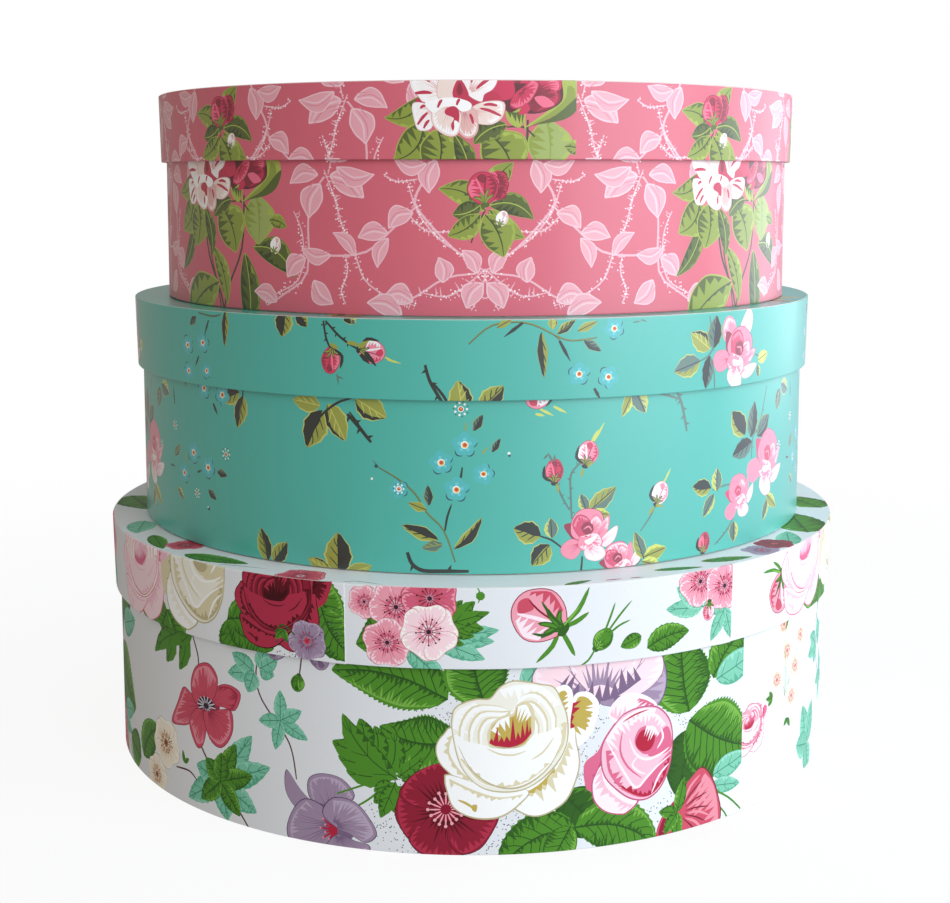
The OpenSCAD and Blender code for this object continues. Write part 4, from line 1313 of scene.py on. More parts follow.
    for at, to in ((-30.6 + 12j, -26 + 17.2j), (-29.4 + 18.8j, -27 + 19.6j), (-28 + 10.5j, -25.4 + 14j),
                   (4.6 + 15.6j, -4.6 + 18.8j), (3 + 19.8j, -3 + 20j), (-7 + 12.4j, -8.6 + 16.6j),
                   (-22 + 19j, -20 + 22.4j), (-14 + 20j, -12.6 + 22.6j)):
        s.append(brush("stripe red", [at, (at + to) / 2 + 0.5j, to], 1.3, (0.6, 0.05)))
    s += placed(rosebud(8, STRIPE, ("olive", "olive deep"), 124), 34 - 12j, turn=-20)
    return s


def pink_sprig():
    """A red bud over a whorl of olive leaves."""
    s = stem("stalk", [0j, -4 - 8j, -6 - 14j], 0.8) + stem("stalk", [2 + 0j, 0 - 8j, -1 - 14j], 0.8)
    s += broad_leaf(2 + 6j, 12 + 20j, 9) + broad_leaf(0j, -20 + 9j, 10, bow=-0.14)
    s += broad_leaf(-2 + 2j, -14 - 2j, 9, DARK_OLIVE) + broad_leaf(2 + 2j, 21 - 4j, 9, DARK_OLIVE, bow=0.18)
    s += broad_leaf(-2 - 2j, -16 - 11j, 9, bow=0.1) + broad_leaf(2 + 0j, 17 - 12j, 9, bow=-0.1)
    s += broad_leaf(0 - 2j, 8 - 20j, 14)
    s += placed(red_flower(8, 131), 2 + 11j)
    s += placed(rosebud(14, RED, ("olive", "olive deep"), 132, open_=0.8), 0 + 2j, turn=8)
    s += placed(rosebud(7, STRIPE, ("olive", "olive deep"), 133), 6 - 7j, turn=-20)
    return s


def pink_repeat():
    """One repeat of the pink paper about its middle line, 267 wide and 134 tall."""
    half = garland()
    s = half + placed(half, 0j, flip=True)
    upper = placed(half, 133.5 + 67j) + placed(half, 133.5 + 67j, flip=True)
    return s + upper


# ---- the teal paper --------------------------------------------------------------------------


def forget_me_not(at, size=1.0, turn=0.0, arcs=(2, 3)):
    """A small flower that hardly shows on the teal: a blue tint, loose dark arcs, a bright eye."""
    s = [spot("sky", 3.3 * aim(90 + 72 * k), 2.5, 10) for k in range(5)]
    s += [spot("sky light", 2.4 * aim(90 + 72 * k), 0.9, 6) for k in range(5)]
    for k in arcs:
        s.append(crescent("sky line", 3.6 * aim(90 + 72 * k), 2.2, 72 * k + 10, 160, 0.6, squash=1.0,
                          steps=7))
    s.append(crescent("sky line", 3.6 * aim(90 + 72 * arcs[-1] + 72), 2.2, 72 * arcs[-1] + 60, 90, 0.45,
                      squash=1.0, steps=5))
    s += [spot("pale white", 0j, 1.75, 9), spot("eye", 0.1 - 0.1j, 1.35, 8),
          spot("eye red", 0.1 + 0j, 0.85, 7)]
    return placed(s, at, size, turn)


def star(at, size=1.0):
    """A tiny far flower: a ring of white dots round an orange eye."""
    s = [spot("pale white", 2.3 * aim(51.4 * k), 0.5, 5) for k in range(7)]
    s += [spot("sky line", 2.8 * aim(51.4 * k + 22), 0.34, 4) for k in range(7)]
    s += [spot("pale white", 0j, 1.2, 7), spot("eye red", 0j, 0.9, 7), spot("eye", 0.1 + 0.2j, 0.4, 5)]
    return placed(s, at, size)


def painted_leaf(base, tip, width, inks=BLACK, share=0.5, teeth=4, bow=0.0):
    """A leaf laid in with two strokes, one light and one dark. Inks: light, dark, rim."""
    light, dark, rim = inks
    span = tip - base
    chance = random.Random(round(abs(base) * 5 + abs(tip) * 9))

    def at(t, out):
        reach = width / 2 * math.sin(math.pi * t**0.85) ** 0.8
        return base + span * t + 1j * span / abs(span) * (out * reach + 4 * bow * abs(span) * t * (1 - t))

    def margin(side, swell):
        """Along one edge, with a notch behind each tooth."""
        line = []
        for k in range(teeth):
            line += [at((k + 0.15) / teeth, side * swell), at((k + 0.8) / teeth, side * swell * 1.12)]
        return line

    rib = [at(t, 0) for t in (0.0, 0.3, 0.6, 0.85, 1.0)]
    s = [(rim, [base] + margin(1, 1.0) + [tip] + margin(-1, 1.0)[::-1])]
    s.append((light, [base] + margin(1, 0.86) + [tip] + margin(-1, 0.86)[::-1]))
    inner = [at(t, 1 - 2 * share + chance.uniform(-0.1, 0.1)) for t in (0.08, 0.3, 0.55, 0.78, 0.93)]
    s.append((dark, [base] + margin(-1, 0.9) + [at(0.96, -0.1)] + smooth(inner[::-1], closed=False, steps=2)))
    for t in (0.3, 0.55, 0.76):
        out = 1 if share < 0.75 else -1
        s.append(brush(dark if out > 0 else rim,
                       [at(t - 0.12, 0), at(t, out * 0.35), at(t + 0.12, out * 0.72)], 0.5, (0.8, 0.1)))
    s.append(brush("black vein" if share < 0.75 else rim, rib, 0.3 + 0.02 * width, (0.9, 0.2)))
    return s


def open_rose(inks, seed):
    """A loose open rose, laid in with a few broad strokes, about 26 across. Inks: from pale to deep."""
    white, pale, pink, deep, dark = inks
    chance = random.Random(seed)
    s = shaped_petal(0j, [-11.5 + 5j, -8 - 0.5j, -5 - 2j, -5 + 3j, -8 + 6j], (deep, dark, dark, dark), chance)
    s += shaped_petal(-4 - 3j, [-12.5 - 4j, -12 - 8j, -7.5 - 10j, -4 - 7j, -4 - 3j, -8 - 1j],
                      (pink, pink, deep, deep), chance, lit=0.7)
    s += shaped_petal(2 + 0j, [-7.5 + 8j, -3 + 12j, 4.5 + 11j, 7 + 6j, 4 + 0j, -3 - 2j, -8 + 1j],
                      (pale, pink, deep, dark), chance, lit=0.6)
    s += shaped_petal(-1 + 2j, [-7.5 + 5j, -5 + 9.5j, -0.5 + 8j, 1.5 + 3j, -3 - 1j], (pink, deep, dark, dark),
                      chance, lit=0.4)
    s += shaped_petal(1 + 1j, [1 + 7j, 4 + 9j, 7 + 5j, 5 + 0j, 2 - 1j], (pale, pink, deep, deep), chance,
                      lit=0.8)
    s.append(blob(dark, -3.6 + 4j, -1 + 6.4j, 2 + 4.6j, 1.6 + 1.4j, -1.6 + 0.8j))
    s.append(brush(pink, [-2.6 + 3j, 0 + 4.2j, 1.4 + 2.2j], 0.8))
    s += shaped_petal(3 - 2j, [1.5 - 1j, 5 + 4j, 9.5 + 8.5j, 9.4 + 3j, 6.5 - 2.5j, 2 - 4j],
                      (pale, pink, deep, deep), chance, lit=0.5)
    s += shaped_petal(5 - 4j, [5.5 - 3j, 9 + 1j, 13.8 + 3.4j, 12.4 - 2.4j, 8 - 5.5j],
                      (white, pale, pink, pink), chance, lit=0.8)
    s += shaped_petal(0 - 2j, [-4 + 0j, 0 - 0.6j, 4 + 1j, 6.4 - 4j, 1 - 7j, -4.6 - 5j],
                      (pale, pink, deep, deep), chance, lit=0.9)
    s.append(blob(white, -2 - 2.2j, 1 - 1j, 3.6 + 0.4j, 3.4 - 1.6j, 0 - 4j))
    s += shaped_petal(0 - 5j, [-1.5 - 6j, 5.5 - 5j, 8 - 9j, 4 - 11.5j, -1 - 10j], (white, pale, pink, pink),
                      chance, lit=0.8)
    return s


def red_bud(length=11, open_=0.35, turn=0.0, pale=False):
    inks = ("pale white", "teal rose", "bud", "bud deep") if open_ > 0.4 else BUD
    inks = ("pale white", "teal rose rim", "teal rose", "teal rose deep") if pale else inks
    s = placed(rosebud(length, inks, ("sage", "black leaf"), round(length * 9), open_=open_), 0j, turn=turn)
    s += placed([brush("black leaf", [-1 + 1j, -0.42 * length + 0.3 * length * 1j,
                                      -0.4 * length + 0.75 * length * 1j], 1.5)], 0j, turn=turn)
    return s


def forget_me_not_plant():
    """A whole forget-me-not. Its stalk's foot is the origin."""
    s = stem("fine stem", [0.5 + 0j, -4.5 + 14j, -12 + 22j, -17 + 30j, -24 + 36j, -33 + 41j], 0.8,
             light="sage")
    s += strokes("black leaf", 1.0, (-4 + 14j, -3 + 20j, -1 + 26j), (3.6 + 42j, 3 + 38j, 2.2 + 35j))
    s += strokes("slate leaf", 0.7, (-33 + 41j, -36 + 44j, -35 + 42j))
    s += strokes("sage", 0.8, (5 + 58j, 5.4 + 62j), (12 + 48j, 15 + 51j))
    s += painted_leaf(-7 + 10j, -23 + 16j, 6, share=0.4, teeth=2)
    s += painted_leaf(-5 + 8j, -14 + 6j, 5, SLATE, share=0.9, teeth=2)
    s += painted_leaf(0 + 6j, 12 + 20j, 5, share=0.35, teeth=2, bow=-0.08)
    s += painted_leaf(-11 + 25j, -11.5 + 34j, 4, SLATE, 0.6, 2)
    s += painted_leaf(-12 + 23j, -20 + 26j, 4, ("sage", "sage", "sage light"), teeth=2)
    s += painted_leaf(8.4 + 58j, 12.4 + 65j, 4, SLATE, teeth=2)
    s += painted_leaf(16.4 + 48.6j, 20 + 54.6j, 3, SLATE, teeth=2)
    s += forget_me_not(4.6 + 51.8j, 1.0) + forget_me_not(-5.6 + 44j, 0.95, 12)
    s += forget_me_not(1 + 32.2j, 1.0, -6)
    s += forget_me_not(12.8 + 39j, 0.85, 130, (2,)) + forget_me_not(-24.2 + 32j, 0.75, 90, (2, 3))
    s += star(-24.2 + 32j, 0.9)
    s += star(3 + 67.4j, 1.15)
    s += [spot("pale white", -36.4 + 36j, 0.6), spot("sky line", -34.4 + 41.6j, 0.9),
          spot("pale white", 23.8 + 48j, 0.7), spot("sky line", 24 + 47j, 0.6)]
    return s


def forget_me_not_drift():
    """Loose forget-me-nots with slate leaves and no stalks. About 60 across."""
    s = forget_me_not(-12 + 3j, 0.95, -20) + forget_me_not(0 - 2.6j, 0.95, 40)
    s += forget_me_not(-21 - 8j, 0.9, 60, (2,))
    s += star(13.6 + 5.4j) + star(-9.4 - 16j, 0.9) + star(-30 + 14j, 0.9) + star(-48 + 2j, 0.9)
    s += painted_leaf(7 - 3.4j, 14 - 4.6j, 4, SLATE, teeth=2)
    s += painted_leaf(0 - 13j, 6 - 17j, 4, SLATE, teeth=2)
    s += painted_leaf(-31 - 1j, -25 + 5j, 4, SLATE, 0.8, 2)
    s += painted_leaf(-28 - 16j, -22 - 21j, 4, PALE_SAGE, teeth=2)
    s += strokes("black leaf", 1.1, (-36 - 6j, -31 - 6.4j), (-9 - 6j, -5 - 4.4j), (-30 + 24j, -31 + 33j))
    s += strokes("sage", 0.9, (-22 + 2j, -17 - 3j))
    return s + [spot("sky line", 0 - 22j, 1.0), spot("pale white", -0.6 - 21.4j, 0.5)]


def black_spray():
    """Dark leaves edged with sage on a bent stalk, and a thorny stub beside them."""
    s = painted_leaf(-13 - 1j, -27 + 1j, 8, BLACK, share=1.0)
    s += painted_leaf(4 + 3j, 18 - 5j, 11, BLACK, share=0.82)
    s += painted_leaf(-12 - 3j, -20 - 20j, 12, BLACK, share=0.45)
    s += painted_leaf(-9 + 0j, -1 - 16j, 10, BLACK, share=0.8)
    s += stem("black leaf", [-15 - 8j, -10 - 3j, -4 + 1j, 2 + 3j], 1.1)
    s += stem("black leaf", [0 - 4j, 5 - 9j, 11 - 16j], 1.7, thorns=4)
    s += strokes("black leaf", 1.0, (1 - 3j, 5 - 8j, 6 - 11j))
    s += painted_leaf(0 + 6j, -8 + 24j, 12, BLACK, share=0.6)
    s += painted_leaf(6 + 6j, 18 + 16j, 10, BLACK, share=0.7)
    return s


def leaf_pair_below():
    s = painted_leaf(1 - 1j, -3 + 14j, 8, share=0.55) + painted_leaf(4 - 1j, 12 + 9j, 8, share=0.5)
    return s + stem("black leaf", [1 + 6j, 1 + 0j, 3 - 4j], 0.8)


def rose_spray():
    """A pink rose with two buds above it and a second rose below. The rose is the origin."""
    s = stem("slate leaf", [-8 + 8j, -8.6 + 20j, -8.4 + 28j, -4 + 33j], 1.0, thorns=6)
    s += stem("slate leaf", [-9 + 12j, -13 + 19j, -15 + 25j], 0.9, thorns=5)
    s += stem("black leaf", [-3 - 9j, -4 - 18j, -8 - 24j], 1.0, thorns=1)
    s += stem("black leaf", [-22 + 1j, -17 - 1j, -12 - 5j], 0.9)
    s += painted_leaf(-22 + 1j, -34 + 5j, 10, share=0.45) + painted_leaf(-18 - 3j, -26 - 12j, 9, share=0.6)
    s += painted_leaf(-17 + 0j, -17.6 + 9j, 6, PALE_SAGE, 0.3)
    s += painted_leaf(0 + 11j, 13 + 21j, 8, ("sage", "slate leaf", "sage light"), share=0.6)
    s += painted_leaf(-1 + 11j, -4 + 19j, 5, PALE_SAGE, 0.3)
    s += painted_leaf(1 + 10j, 10 + 9j, 5, LEMON, 0.3, 3)
    s += placed(red_bud(11, 0.3), -16 + 24j) + placed(red_bud(11.5, 0.6, -12), -2 + 31j)
    s += strokes("sage", 1.4, (-15 + 24j, -14 + 20j), (-1 + 31j, 2 + 33j), (-3 + 30j, -4 + 26j))
    s += strokes("slate leaf", 1.1, (-17 + 34j, -19 + 38j), (-16 + 34j, -16 + 37j), (-19 + 37j, -21 + 35j))
    s += strokes("lemon", 1.2, (1 + 42j, 4 + 47j), (2 + 42j, 7 + 50j))
    s += placed(open_rose(OPEN_ROSE, 144), 15.4 - 13.5j, 0.82, 20) + placed(open_rose(OPEN_ROSE, 143), 0j)
    return s


def pale_bud_spray():
    """A nearly white bud over lemon leaves. The bud's foot is the origin."""
    s = stem("slate leaf", [0j, -3 - 5j, -8 - 11j], 0.8)
    s += stem("slate leaf", [-7 - 24j, -11 - 27j, -14 - 28j], 0.8)
    s += placed(red_bud(11, 0.5, -22, pale=True), 0j)
    s += strokes("sage", 1.6, (-1 - 1j, -4 - 4j), (0 + 0j, 4 - 1j))
    s += strokes("lemon", 1.0, (5 + 11j, 8 + 16j), (4 + 10j, 6 + 12j))
    s += painted_leaf(-6 - 24j, -11 - 11j, 6, ("sage", "slate leaf", "lemon"), share=0.45, teeth=3)
    s += painted_leaf(-6 - 23j, 6 - 20j, 7, LEMON, 0.25, 3)
    s += painted_leaf(-7 - 25j, 3 - 28j, 6, LEMON, 0.3, 3)
    return s


def rose_corner():
    """Two full pale roses with dark and lemon leaves. The larger rose is the origin."""
    s = stem("slate leaf", [-14 + 4j, -13 + 14j, -7 + 19j, 0 + 37j], 1.0, thorns=3)
    s += stem("slate leaf", [-28 - 22j, -34 - 28j, -42 - 33j], 0.9, thorns=4)
    s += stem("slate leaf", [-44 - 7j, -36 - 6j, -28 - 6j], 0.8)
    s += painted_leaf(-20 + 16j, -31 + 28j, 11, share=0.3)
    s += painted_leaf(-15 + 14j, -12 + 31j, 9, SLATE, 0.55) + painted_leaf(-9 + 14j, 3 + 23j, 9, SLATE, 0.7)
    s += painted_leaf(-14 + 12j, -30 + 7j, 9, ("slate leaf", "black leaf", "slate leaf"), 0.5)
    s += painted_leaf(-41 - 8j, -41 + 3j, 7, PALE_SAGE, 0.4) + painted_leaf(-45 - 6j, -57 - 4j, 8, share=0.4)
    s += painted_leaf(-43 - 9j, -50 - 19j, 6, PALE_SAGE, 0.2)
    s += painted_leaf(-28 - 24j, -28 - 34j, 7, PALE_SAGE, 0.3)
    s += painted_leaf(4 - 18j, -2 - 28j, 6, PALE_SAGE, 0.3) + painted_leaf(2 - 16j, 14 - 24j, 6, LEMON, 0.25)
    s += painted_leaf(16 + 34j, 12 + 24j, 7, SLATE, 0.8) + painted_leaf(18 + 36j, 28 + 32j, 8, PALE_SAGE, 0.3)
    s += placed(open_rose(PALE_ROSE, 151), -24 - 13j, 0.9, 8)
    s += placed(open_rose(PALE_ROSE, 152), 1 + 0j, 1.3, -25)
    s += placed(red_bud(10, 0.3, -10), -50 - 36j)
    return s


def hanging_buds():
    """Two buds hanging from thorny stalks. The joint is the origin."""
    s = stem("black leaf", [0j, 1 - 7j, 3 - 12j], 1.0, thorns=4)
    s += stem("black leaf", [1 + 0j, 8 - 7j, 16 - 12j], 1.1, thorns=6)
    s += placed(red_bud(12, 0.3, 172), 4 - 11j) + placed(red_bud(12, 0.62, -96), 16 - 12j)
    s += strokes("sage", 2.0, (3 - 10j, 7 - 12j), (16 - 11j, 21 - 8j), (11 - 9j, 17 - 10j))
    s += strokes("lemon", 1.0, (28 - 15j, 32 - 17j), (29 - 16j, 35 - 17.6j))
    s += strokes("black leaf", 2.2, (17 - 14j, 21 - 18j), (19 - 13j, 24 - 19j))
    s += strokes("slate leaf", 0.8, (6 - 23j, 6.6 - 28j), (6 - 24j, 9 - 25j))
    return s + painted_leaf(10 + 3j, 13 - 1j, 4, share=0.3, teeth=2)


def olive_sprig():
    """A slim branching sprig with one long hanging leaf and forget-me-nots. The joint is the origin."""
    s = stem("fine stem", [-36 - 4j, -26 + 4j, -12 + 5j, 0 + 0j, 4 - 4j], 0.8, light="sage")
    s += stem("fine stem", [0 + 0j, 8 - 3j, 20 - 2j], 0.8, light="sage")
    s += strokes("black leaf", 1.6, (-13 + 5j, -21 - 1j), (3 - 3j, 8 - 12j), (19 - 24j, 22 - 29j))
    s += painted_leaf(-5 + 1j, -3.6 - 19j, 4.4, ("sage", "black leaf", "sage"), 0.4, 2)
    s += painted_leaf(0 + 2j, 0 + 8j, 4, BLACK, 0.9, 2)
    s += painted_leaf(2 + 0j, 10 + 6j, 4, BLACK, 0.55, 2)
    s += painted_leaf(11 + 1j, 20 + 5j, 3.6, ("sage", "sage", "sage light"), 0.3, 2)
    s += painted_leaf(14 - 3j, 22 - 8j, 4, SLATE, 0.6, 2)
    s += painted_leaf(-24 + 3j, -17 + 7j, 3, ("sage", "sage", "sage"), 0.3, 2)
    s += forget_me_not(28 + 1.6j, 0.85, 30, (2, 3)) + forget_me_not(12 - 17.6j, 0.9, 70, (0, 2))
    s += forget_me_not(25.6 - 19.4j, 0.9, 40, (0, 1))
    return s


def teal_wall_front():
    """One stretch of the teal wall paper, 370 wide."""
    s = placed(forget_me_not_drift(), -136 + 40j) + placed(forget_me_not_plant(), -7.4 + 5j)
    s += placed(black_spray(), -55 + 73j) + placed(leaf_pair_below(), -98 + 0j)
    s += placed(leaf_pair_below(), -110 + 72j, turn=150)
    s += painted_leaf(-60 - 3j, -60 + 16j, 13, share=0.45) + painted_leaf(-64 - 2j, -75 + 3j, 6, BLACK, 0.9)
    s += painted_leaf(-56 - 2j, -44 + 2j, 6, BLACK, 0.9)
    s += stem("black leaf", [-28 + 9j, -26 + 4j, -21 + 1j, -10 + 1j, -1 + 1j], 1.8, thorns=2)
    s += placed(rose_spray(), 52.5 + 15j) + placed(pale_bud_spray(), 86 + 26j)
    s += placed(rose_corner(), 164 + 36j)
    s += placed(red_bud(14, 0.6, 150), 33 + 85j)
    s += strokes("lemon", 1.3, (30 + 72j, 36 + 69j), (36 + 73j, 42 + 70j), (28 + 70j, 32 + 69j))
    s += painted_leaf(74 + 79j, 68 + 67j, 5, LEMON, 0.3) + painted_leaf(74 + 79j, 80 + 68j, 8, PALE_SAGE, 0.4)
    s += stem("slate leaf", [80 + 78j, 92 + 75j, 98 + 73j], 1.1, thorns=3)
    s += stem("slate leaf", [96 + 78j, 100 + 70j, 103 + 58j], 1.5, thorns=6)
    return s + placed(olive_sprig(), -150 + 92j) + placed(hanging_buds(), 140 + 104j)


def teal_rim_front():
    """One stretch of the teal rim paper, 370 wide."""
    s = forget_me_not(-147.9 + 17.4j, 0.85, 20, (0, 3)) + forget_me_not(-135.5 + 19.4j, 0.85, 60, (2, 3))
    s += forget_me_not(-147.9 + 5.4j, 0.75, 20, (0,)) + forget_me_not(-133.3 + 6.6j, 0.7, 90, (1,))
    s += strokes("black leaf", 1.2, (-139 + 13j, -142 + 8j), (-130.5 + 30j, -134 + 23j))
    s += stem("fine stem", [-138 + 33j, -128 + 32j, -122 + 33j], 0.8)
    s += painted_leaf(-140 + 31j, -145 + 27j, 4, SLATE, 0.6, 2)
    s += painted_leaf(-118.5 + 36j, -120 + 18.6j, 4.4, ("sage", "black leaf", "sage"), 0.45, 2)
    s += painted_leaf(-84 + 37j, -86 + 25j, 9, share=0.45) + painted_leaf(-78 + 36j, -73 + 30j, 6, share=0.4)
    s += painted_leaf(-54 + 36j, -50 + 32j, 5, PALE_SAGE)
    s += placed(hanging_buds(), -65 + 33j) + placed(olive_sprig(), 35 + 28j)
    s += stem("black leaf", [-19.6 + 15j, -17.6 + 8j, -13 + 0j, -10 - 6j], 1.5, thorns=4)
    s += strokes("black leaf", 1.3, (-16 + 7j, -12 + 2j, -9 - 3j))
    s += painted_leaf(-3.6 - 6j, -5.6 + 8.4j, 10, BLACK, 0.75) + painted_leaf(4 - 4j, 14 + 6j, 9, BLACK, 0.6)
    s += strokes("slate leaf", 0.8, (72 + 32j, 76 + 32.4j), (76 + 33j, 79 + 32j))
    s += painted_leaf(115 + 18j, 103 + 26j, 9, BLACK, 0.8)
    s += painted_leaf(117 + 18j, 118.6 + 33j, 9, SLATE, 0.5)
    s += painted_leaf(109 + 13j, 94 + 9j, 10, ("sage", "slate leaf", "sage light"), 0.35)
    s += painted_leaf(115 + 15j, 113 + 0j, 7, ("slate leaf", "black leaf", "slate leaf"), 0.4)
    s += stem("slate leaf", [109 + 13j, 114 + 15j, 117 + 20j, 114 + 33j], 0.9, thorns=1)
    s += strokes("slate leaf", 1.0, (118 + 8j, 119 - 3j), (148 + 13j, 152 + 12j))
    s += painted_leaf(151 + 10j, 160 + 13j, 6, ("lemon", "lemon", "lemon"), 0.3)
    s += painted_leaf(151 + 8j, 152 + 2j, 4, PALE_SAGE, 0.3)
    s += shaped_petal(133 + 22j, [125 + 21j, 123 + 27j, 126 + 32j, 131 + 30j, 132 + 24j],
                      ("teal rose rim", "teal rose", "teal rose", "teal rose"), random.Random(3))
    s += shaped_petal(137 + 24j, [135 + 25j, 138 + 31j, 142 + 35j, 145 + 31j, 144 + 25j, 140 + 22j],
                      ("pale white", "teal rose rim", "teal rose", "teal rose"), random.Random(4))
    return s + placed(open_rose(OPEN_ROSE, 181), 134 + 13j, 1.15, -30)


def teal_lid_top():
    """The top of the teal lid."""
    s = placed(rose_spray(), -30 - 90j, turn=10) + placed(rose_corner(), 96 + 30j, turn=-20)
    s += placed(forget_me_not_plant(), 70 - 120j)
    s += placed(black_spray(), -110 - 60j, turn=50) + placed(forget_me_not_drift(), -40 + 130j)
    s += placed(rose_spray(), -84 + 50j, turn=120)
    s += placed(hanging_buds(), 30 + 120j) + placed(olive_sprig(), 20 - 10j, turn=30)
    s += placed(black_spray(), 140 - 60j, turn=200)
    return s + placed(pale_bud_spray(), -140 + 30j, turn=60) + placed(leaf_pair_below(), -60 - 160j, turn=-30)


# ---------------------------------------------------------------------------------------------
# Cutting the artwork into the sheet
# ---------------------------------------------------------------------------------------------

PAPER = 0.28         # thickness of the printed paper, in millimetres
TOLERANCE = 1e-5     # points closer together than this are one point
SPECK = 0.01         # a shape with less area than this isn't printed
SPILT = 1.25         # a shape that covers this much more than its own area has spilt over


def area(outline):
    """Twice the signed area of an outline, positive when it runs anticlockwise."""
    return sum((a.conjugate() * b).imag for a, b in zip(outline, outline[1:] + outline[:1]))


def thinned(outline, slack=0.06):
    """The outline without the points that lie within slack of the line between their neighbours."""
    if len(outline) < 6:
        return outline

    def keep(first, last):
        a, b = outline[first], outline[last]
        chord = b - a
        worst, where = 0.0, None
        for k in range(first + 1, last):
            away = outline[k] - a
            if abs(chord) > 1e-9:
                t = max(0.0, min(1.0, (away * chord.conjugate()).real / abs(chord) ** 2))
                away -= chord * t
            if abs(away) > worst:
                worst, where = abs(away), k
        if where is None or worst < slack:
            return []
        return keep(first, where) + [where] + keep(where, last)

    half = len(outline) // 2
    points = [0] + keep(0, half) + [half] + keep(half, len(outline) - 1) + [len(outline) - 1]
    return [outline[k] for k in points]


def cut_sheet(border, cuts, shapes):
    """The sheet inside border as triangles, each with its ink. Shapes lie in painting order."""
    points, faces, inks = [Vector((p.real, p.imag)) for p in border], [list(range(len(border)))], [None]
    low = complex(min(p.real for p in border), min(p.imag for p in border))
    high = complex(max(p.real for p in border), max(p.imag for p in border))
    sizes = [abs(area(border))]
    for ink, outline in shapes:
        if max(p.real for p in outline) < low.real or min(p.real for p in outline) > high.real:
            continue
        if max(p.imag for p in outline) < low.imag or min(p.imag for p in outline) > high.imag:
            continue
        outline = thinned(outline)
        turn = area(outline)
        if len(outline) < 3 or abs(turn) < SPECK:
            continue
        if turn < 0:
            outline = outline[::-1]
        start = len(points)
        points += [Vector((p.real, p.imag)) for p in outline]
        faces.append(list(range(start, len(points))))
        inks.append(ink)
        sizes.append(abs(turn))
    edges = []
    for cut in cuts:
        start = len(points)
        points += [Vector((p.real, p.imag)) for p in cut]
        edges += [(k, k + 1) for k in range(start, len(points) - 1)]
    out_points, _, triangles, _, _, owners = delaunay_2d_cdt(points, edges, faces, 1, TOLERANCE, True)

    # a shape that crosses itself can spill over its neighbours: it is found by its area and left out
    covered = [0.0] * len(faces)
    areas = []
    for triangle, ids in zip(triangles, owners):
        a, b, c = (out_points[k] for k in triangle)
        size = abs((b - a).cross(c - a))
        areas.append(size)
        for k in ids:
            covered[k] += size
    spilt = {k for k in range(1, len(faces)) if covered[k] > SPILT * sizes[k] + 0.5}
    kept, top = [], []
    for triangle, ids, size in zip(triangles, owners, areas):
        if 0 in ids:
            kept.append(triangle)
            top.append(inks[max((k for k in ids if k not in spilt), default=0)])
    return tidy_cut(border, cuts, out_points, kept, top)


def tidy_cut(border, cuts, points, triangles, inks):
    """The same picture with only the edges that divide two inks."""
    sides = {}
    for number, triangle in enumerate(triangles):
        for k in range(3):
            a, b = triangle[k - 1], triangle[k]
            sides.setdefault((min(a, b), max(a, b)), []).append(number)
    new_points, new_edges, index = [Vector((p.real, p.imag)) for p in border], [], {}
    count = len(border)
    new_faces = [list(range(count))]
    for (a, b), pair in sides.items():
        if len(pair) == 2 and inks[pair[0]] != inks[pair[1]]:
            for k in (a, b):
                if k not in index:
                    index[k] = len(new_points)
                    new_points.append(points[k])
            new_edges.append((index[a], index[b]))
    for cut in cuts:
        start = len(new_points)
        new_points += [Vector((p.real, p.imag)) for p in cut]
        new_edges += [(k, k + 1) for k in range(start, len(new_points) - 1)]
    out_points, _, out_triangles, _, _, _ = delaunay_2d_cdt(new_points, new_edges, new_faces, 1, TOLERANCE,
            True)
    flat = BVHTree.FromPolygons([(p.x, p.y, 0.0) for p in points], triangles)
    found = []
    for triangle in out_triangles:
        middle = (out_points[triangle[0]] + out_points[triangle[1]] + out_points[triangle[2]]) / 3
        hit = flat.ray_cast(Vector((middle.x, middle.y, 1.0)), Vector((0, 0, -1)))
        found.append(inks[hit[2]] if hit[2] is not None else None)
    return [complex(p.x, p.y) for p in out_points], [list(t) for t in out_triangles], found


def edge_loop(triangles):
    """The sheet's outer edge, as point numbers in order, anticlockwise."""
    onward = {}
    sides = set()
    for triangle in triangles:
        for k in range(3):
            sides.add((triangle[k - 1], triangle[k]))
    for a, b in sides:
        if (b, a) not in sides:
            onward[a] = b
    start = min(onward)
    loop = [start]
    while onward[loop[-1]] != start:
        loop.append(onward[loop[-1]])
    return loop


